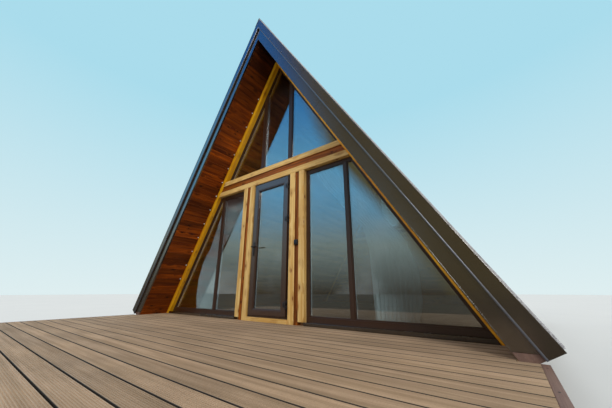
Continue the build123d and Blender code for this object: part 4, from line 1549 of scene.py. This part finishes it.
# %% Bulbs along the rafters
BULB_STEP = 0.30
BULB_FIRST = 0.905
BULB_LAST = 4.9
BULB_RADIUS = 0.011
SOCKET_RADIUS, SOCKET_LENGTH = 0.008, 0.014


def bulb_row(name, side):
    x, z = on_slope(-0.004, BULB_FIRST)
    spot = Vector((side * x, FRONT - 0.006, z))
    inward = Vector((-side * sin(PITCH), 0, -cos(PITCH)))
    socket = soften(round_bar("socket", spot, SOCKET_RADIUS, SOCKET_LENGTH, "y", 10), 0.001)
    bpy.ops.object.select_all(action="DESELECT")
    bpy.ops.mesh.primitive_uv_sphere_add(segments=12, ring_count=8, radius=BULB_RADIUS,
                                         location=spot + Vector((0, -0.016, 0)) + inward * 0.004)
    globe = settle(bpy.context.object, "globe")
    modify(globe, "SUBSURF", levels=1, render_levels=1)
    count = int((BULB_LAST - BULB_FIRST) / BULB_STEP) + 1
    for part in (socket, globe):
        repeat(part, count, up_slope(side, -BULB_STEP))
    dress(socket, "black_metal", down(side))
    dress(globe, "white_metal", down(side))
    socket.name, globe.name = "bulb_sockets_" + name, "bulb_globes_" + name
    wake(globe)
    bpy.ops.object.shade_smooth()
    return count


for name, side in SIDES.items():
    print(name, "bulbs:", bulb_row(name, side))

# %% [markdown]
# The rear gable below its tie beam is a boarded wall with one window. Boards run across the wall with a
# narrow shadow joint, sawn along the rafters and round the window. The inner face is boarded too, because it
# shows through the front glass.

# %% Rear wall
WALL_BOARD = 0.145
WALL_JOINT = 0.002
CLADDING = 0.022
INNER_BOARD = 0.014
CORE_PLAY = 0.0005
wall_low, wall_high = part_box("rear_wall_sides")
core_near, core_far = wall_low.y + INNER_BOARD, wall_high.y - CLADDING
half_window = rear_high.x
under_and_over = ((DECK, rear_low.z), (rear_high.z, BEAM_UNDER))


def wall_boards(x_from, x_to, under, top, near, far):
    """Level boards between two uprights."""
    first = DECK + WALL_BOARD * int((under - DECK) / WALL_BOARD)
    boards = block("boards", (x_from, near, first + WALL_JOINT),
                   (x_to, far, first + WALL_BOARD - WALL_JOINT))
    repeat(soften(boards, FRAME_EDGE), ceil((top - first) / WALL_BOARD), (0, 0, WALL_BOARD))
    saw(boards, (0, 0, top), (0, 0, 1))
    return saw(boards, (0, 0, under), (0, 0, -1))


def wall_face(near, far):
    """The boards beside the window, sawn along the rafters, and those under and over it."""
    beside = wall_boards(half_window, rafter_x(DECK), DECK, BEAM_UNDER, near, far)
    saw(beside, (rafter_x(DECK), 0, DECK), (sin(PITCH), 0, cos(PITCH)))
    boards = [mirrored(beside, across=True)]
    for under, top in under_and_over:
        boards.append(wall_boards(-half_window + FIT, half_window - FIT, under, top, near, far))
    return boards


rear_cladding = join(wall_face(core_far, wall_high.y), "rear_wall_cladding")
rear_lining = join(wall_face(wall_low.y, core_near), "rear_wall_lining")
core_front, core_back = core_near + CORE_PLAY, core_far - CORE_PLAY
beside = prism("core", up_to_rafter(half_window, DECK, BEAM_UNDER), core_front, core_back)
cores = [mirrored(beside, across=True)]
for under, top in under_and_over:
    cores.append(block("core", (-half_window, core_front, under), (half_window, core_back, top)))
dress(rear_cladding, "wall_boards", ALONG_X, ["rear_wall_sides", "rear_wall_middle"])
dress(rear_lining, "lining_boards", ALONG_X)
dress(join(cores, "rear_wall_core"), "wall_boards", ALONG_X)
print("rear wall:", len(rear_cladding.data.polygons), "faces of cladding")

# %% [markdown]
# Each curtain runs on a white rail under the tie beam. The rail is a flat box with rounded edges and three
# lips below it, which leave two slots.

# %% Curtain rails
rail_low, rail_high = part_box("curtain_tracks")
RAIL_FROM_JAMB = 0.329
RAIL_LIPS, LIP_WIDTH = (0.022, 0.052, 0.082), 0.012
rail_start, rail_end = high("door_frame_jambs").x + RAIL_FROM_JAMB, rail_high.x
body = block("rail", (rail_start, rail_low.y, rail_low.z + 0.006), (rail_end, rail_high.y, rail_high.z))
rail_parts = [soften(body, 0.006, 3)]
for near in (rail_low.y + distance for distance in RAIL_LIPS):
    lip = block("lip", (rail_start + 0.004, near, rail_low.z),
                (rail_end - 0.004, near + LIP_WIDTH, rail_low.z + 0.010))
    rail_parts.append(soften(lip, 0.002, 2))
rails = mirrored(join(rail_parts, "curtain_rails"), across=True)
dress(rails, "white_metal", ALONG_X, ["curtain_tracks"])
print("rails:", len(rails.data.polygons), "faces")

# %% [markdown]
# A curtain is flat cloth gathered into pleats. Its width stays the same at every height, so where the cloth
# is drawn together the pleats get narrow and deep, and where it spreads they are wide. For each row of the
# mesh the depth of the pleats is worked out so that the row keeps its length. Each curtain is swept outwards
# and drawn together at breast height. Its edges are listed as level, inner edge and outer edge.

# %% Pleats that keep the cloth's width
CLOTH_WIDTH = 1.60
CLOTH_DROP = 2.3
PLEATS = 11
PLEAT_POINTS = 12
ROWS = 72
EASE = 0.35
DEEPEST_PLEAT = 0.06
HALVINGS = 24
CURTAIN_EDGES = [
    (2.158, 0.765, 1.440), (1.950, 0.880, 1.520), (1.620, 1.130, 1.640), (1.360, 1.330, 1.740),
    (1.200, 1.470, 1.800), (1.060, 1.500, 1.930), (0.900, 1.530, 2.010), (0.630, 1.540, 2.080),
    (0.330, 1.545, 2.080), (0.056, 1.550, 2.020),
]


def row_edges(level):
    """Inner and outer edge of a curtain at a level above the deck."""
    for (top, a, b), (under, c, d) in zip(CURTAIN_EDGES, CURTAIN_EDGES[1:]):
        if level >= under:
            share = (top - level) / (top - under)
            share = share * share * (3 - 2 * share) * EASE + share * (1 - EASE)
            return a + (c - a) * share, b + (d - b) * share
    return CURTAIN_EDGES[-1][1:]


def wave_length(width, depth):
    """Length of one pleat's wave of a given width and depth."""
    steps = 24
    points = [(width * n / steps, depth * sin(2 * pi * n / steps)) for n in range(steps + 1)]
    return sum(hypot(u - x, w - y) for (x, y), (u, w) in zip(points, points[1:]))


def pleat_depth(width):
    """Depth at which a pleat of this width keeps its share of the cloth."""
    least, most = 0.0, DEEPEST_PLEAT
    for _ in range(HALVINGS):
        middle = (least + most) / 2
        if wave_length(width, middle) < CLOTH_WIDTH / PLEATS:
            least = middle
        else:
            most = middle
    return least


print("a pleat 50 mm wide is", round(pleat_depth(0.05) * 1000), "mm deep each way")

# %% Curtains
CURTAIN_Y = (low("curtain_left").y + high("curtain_left").y) / 2


def curtain(name, side):
    """A flat grid folded row by row into pleats that wander, lean and vary a little."""
    bpy.ops.object.select_all(action="DESELECT")
    bpy.ops.mesh.primitive_grid_add(x_subdivisions=PLEATS * PLEAT_POINTS, y_subdivisions=ROWS, size=1,
                                    calc_uvs=True)
    cloth = settle(bpy.context.object, "curtain_cloth_" + name)
    cloth.data.uv_layers[0].name = "cloth"
    top, hem = CURTAIN_EDGES[0][0], CURTAIN_EDGES[-1][0]
    draw = random.Random(name)
    waves = [draw.uniform(0.0, 2 * pi) for _ in range(4)]
    for vertex in cloth.data.vertices:
        across = min(max(vertex.co.x + 0.5, 0.0), 1.0)
        level = hem + (top - hem) * (vertex.co.y + 0.5)
        inner, outer = row_edges(level)
        drift = 0.25 * sin(2.1 * level + waves[0]) + 0.12 * sin(5.3 * level + waves[1])
        spread = across + 0.012 * sin(2 * pi * across * 2 + waves[2] + level) * sin(pi * across)
        depth = pleat_depth((outer - inner) / PLEATS)
        turn = 2 * pi * (across * PLEATS + drift * sin(pi * across))
        lean = 0.22 * sin(2 * turn) * (outer - inner) / PLEATS
        uneven = 0.9 + 0.1 * sin(7.0 * across * pi + waves[3])
        x = side * (inner + (outer - inner) * spread + lean)
        vertex.co = (x, CURTAIN_Y + depth * uneven * sin(turn), DECK + level)
    for corner in cloth.data.uv_layers["cloth"].data:
        corner.uv = (corner.uv[0] * CLOTH_WIDTH, corner.uv[1] * CLOTH_DROP)
    wake(cloth)
    bpy.ops.object.shade_smooth()
    cloth.data.materials.append(finishes["curtain_cloth"])
    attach(cloth, "cabin")
    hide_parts("curtain_" + name)
    return cloth


for name, side in SIDES.items():
    cloth = curtain(name, side)

# %% [markdown]
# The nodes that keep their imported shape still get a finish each: the pads, the bearers, the joists, the
# platform, the roof panels and the studs. Their meshes stay as they are, and only the material changes.

# %% Finishes for the nodes that stay
KEPT = {
    "foundation_pads": "concrete",
    "bearers": "frame_timber_lengthways",
    "floor_platform": "frame_timber_lengthways",
    "sill_beams": "frame_timber",
    "deck_joists": "frame_timber_lengthways",
    "roof_panel_left": "frame_timber_lengthways",
    "roof_panel_right": "frame_timber_lengthways",
    "post_studs": "frame_timber",
}
for node, finish in KEPT.items():
    for material_slot in frame["nodes"][node].material_slots:
        material_slot.material = finishes[finish]
print("kept nodes:", sorted(KEPT))

# %% [markdown]
# The cabin stands on a plain pale floor under a pale sky. Glossy rays see the floor darker, so that the
# panes mirror a calm dark foreground.

# %% Floor
FLOOR_RADIUS = 70
bpy.ops.object.select_all(action="DESELECT")
bpy.ops.mesh.primitive_circle_add(vertices=64, radius=FLOOR_RADIUS, fill_type="NGON")
floor = settle(bpy.context.object, "studio_floor")
floor_finish, tree, shader = new_finish("studio_floor")
pale_floor = mix(tree, noise(tree, object_place(tree), 0.4), colour(222, 226, 226), colour(214, 219, 220))
mirrored_floor = place(tree, "LightPath").outputs["Is Glossy Ray"]
tree.links.new(mix(tree, mirrored_floor, pale_floor, colour(82, 67, 46)), shader.inputs["Base Color"])
shader.inputs["Roughness"].default_value = 0.9
floor.data.materials.append(floor_finish)
print("floor radius:", FLOOR_RADIUS, "m")

# %% [markdown]
# The camera sees a pale haze. What the panes and the metal mirror is a richer sky: a dim band low down, blue
# above it and deep blue overhead, thin cloud, and a darker side to the right. Light on everything else comes
# from an even white dome and one soft lamp high on the right, so that the mirrored sky can be tuned alone.

# %% The sky that the camera and the panes see
world = bpy.data.worlds.new("pale_sky")
bpy.context.scene.world = world
world.use_nodes = True
tree = world.node_tree
tree.nodes.clear()
sight = place(tree, "TexCoord").outputs["Generated"]
heading = place(tree, "SeparateXYZ", {"Vector": sight}).outputs
rays = place(tree, "LightPath").outputs
haze = mix(tree, span(tree, heading["Z"], 0.0, 0.6), colour(222, 238, 240), colour(170, 220, 236))
low_sky = mix(tree, span(tree, heading["Z"], -0.02, 0.16), colour(76, 60, 42), colour(168, 182, 176))
high_sky = mix(tree, span(tree, heading["Z"], 0.16, 0.36), low_sky, colour(132, 210, 255))
high_sky = mix(tree, span(tree, heading["Z"], 0.48, 0.74), high_sky, colour(0, 132, 226))
clouds = span(tree, noise(tree, sight, 3.0, 4.0), 0.48, 0.7)
thin_cloud = times(tree, clouds, span(tree, heading["Z"], 0.5, 0.2, 0.0, 0.6))
high_sky = mix(tree, thin_cloud, high_sky, colour(232, 238, 236))
slant = times(tree, maths(tree, "MINIMUM", heading["Z"], 0.5), 0.6)
shade_side = span(tree, maths(tree, "ADD", heading["X"], slant), -0.175, -0.12)
high_sky = mix(tree, shade_side, high_sky, colour(124, 112, 78))
mirrored_sky = mix(tree, span(tree, heading["Y"], 0.15, -0.15), haze, high_sky)
sky = mix(tree, rays["Is Glossy Ray"], haze, mirrored_sky)
print("sky:", len(tree.nodes), "nodes")

# %% Dome of light
SKY_LIGHT = 0.85
seen = place(tree, "Background", {"Color": sky, "Strength": 1.0})
light = place(tree, "Background", {"Color": (1, 1, 1, 1), "Strength": SKY_LIGHT})
direct = maths(tree, "MAXIMUM", rays["Is Camera Ray"], rays["Is Glossy Ray"])
direct = maths(tree, "MAXIMUM", direct, rays["Is Transmission Ray"])
both = place(tree, "MixShader", {0: direct, 1: light.outputs[0], 2: seen.outputs[0]})
place(tree, "OutputWorld", {"Surface": both.outputs[0]})
print("sky light", SKY_LIGHT)

# %% Lamp
sun_data = bpy.data.lights.new("soft_sun", "SUN")
sun_data.energy = 1.4
sun_data.angle = radians(20)
sun_data.color = (1.0, 0.96, 0.9)
sun = bpy.data.objects.new("soft_sun", sun_data)
sun.rotation_euler = (radians(60), 0, radians(44))
bpy.context.scene.collection.objects.link(sun)
print("lamp", sun_data.energy)

# %% [markdown]
# The last cell removes the empty that served as the mirror.

# %% Removing the mirror mark
bpy.data.objects.remove(mirror_mark)
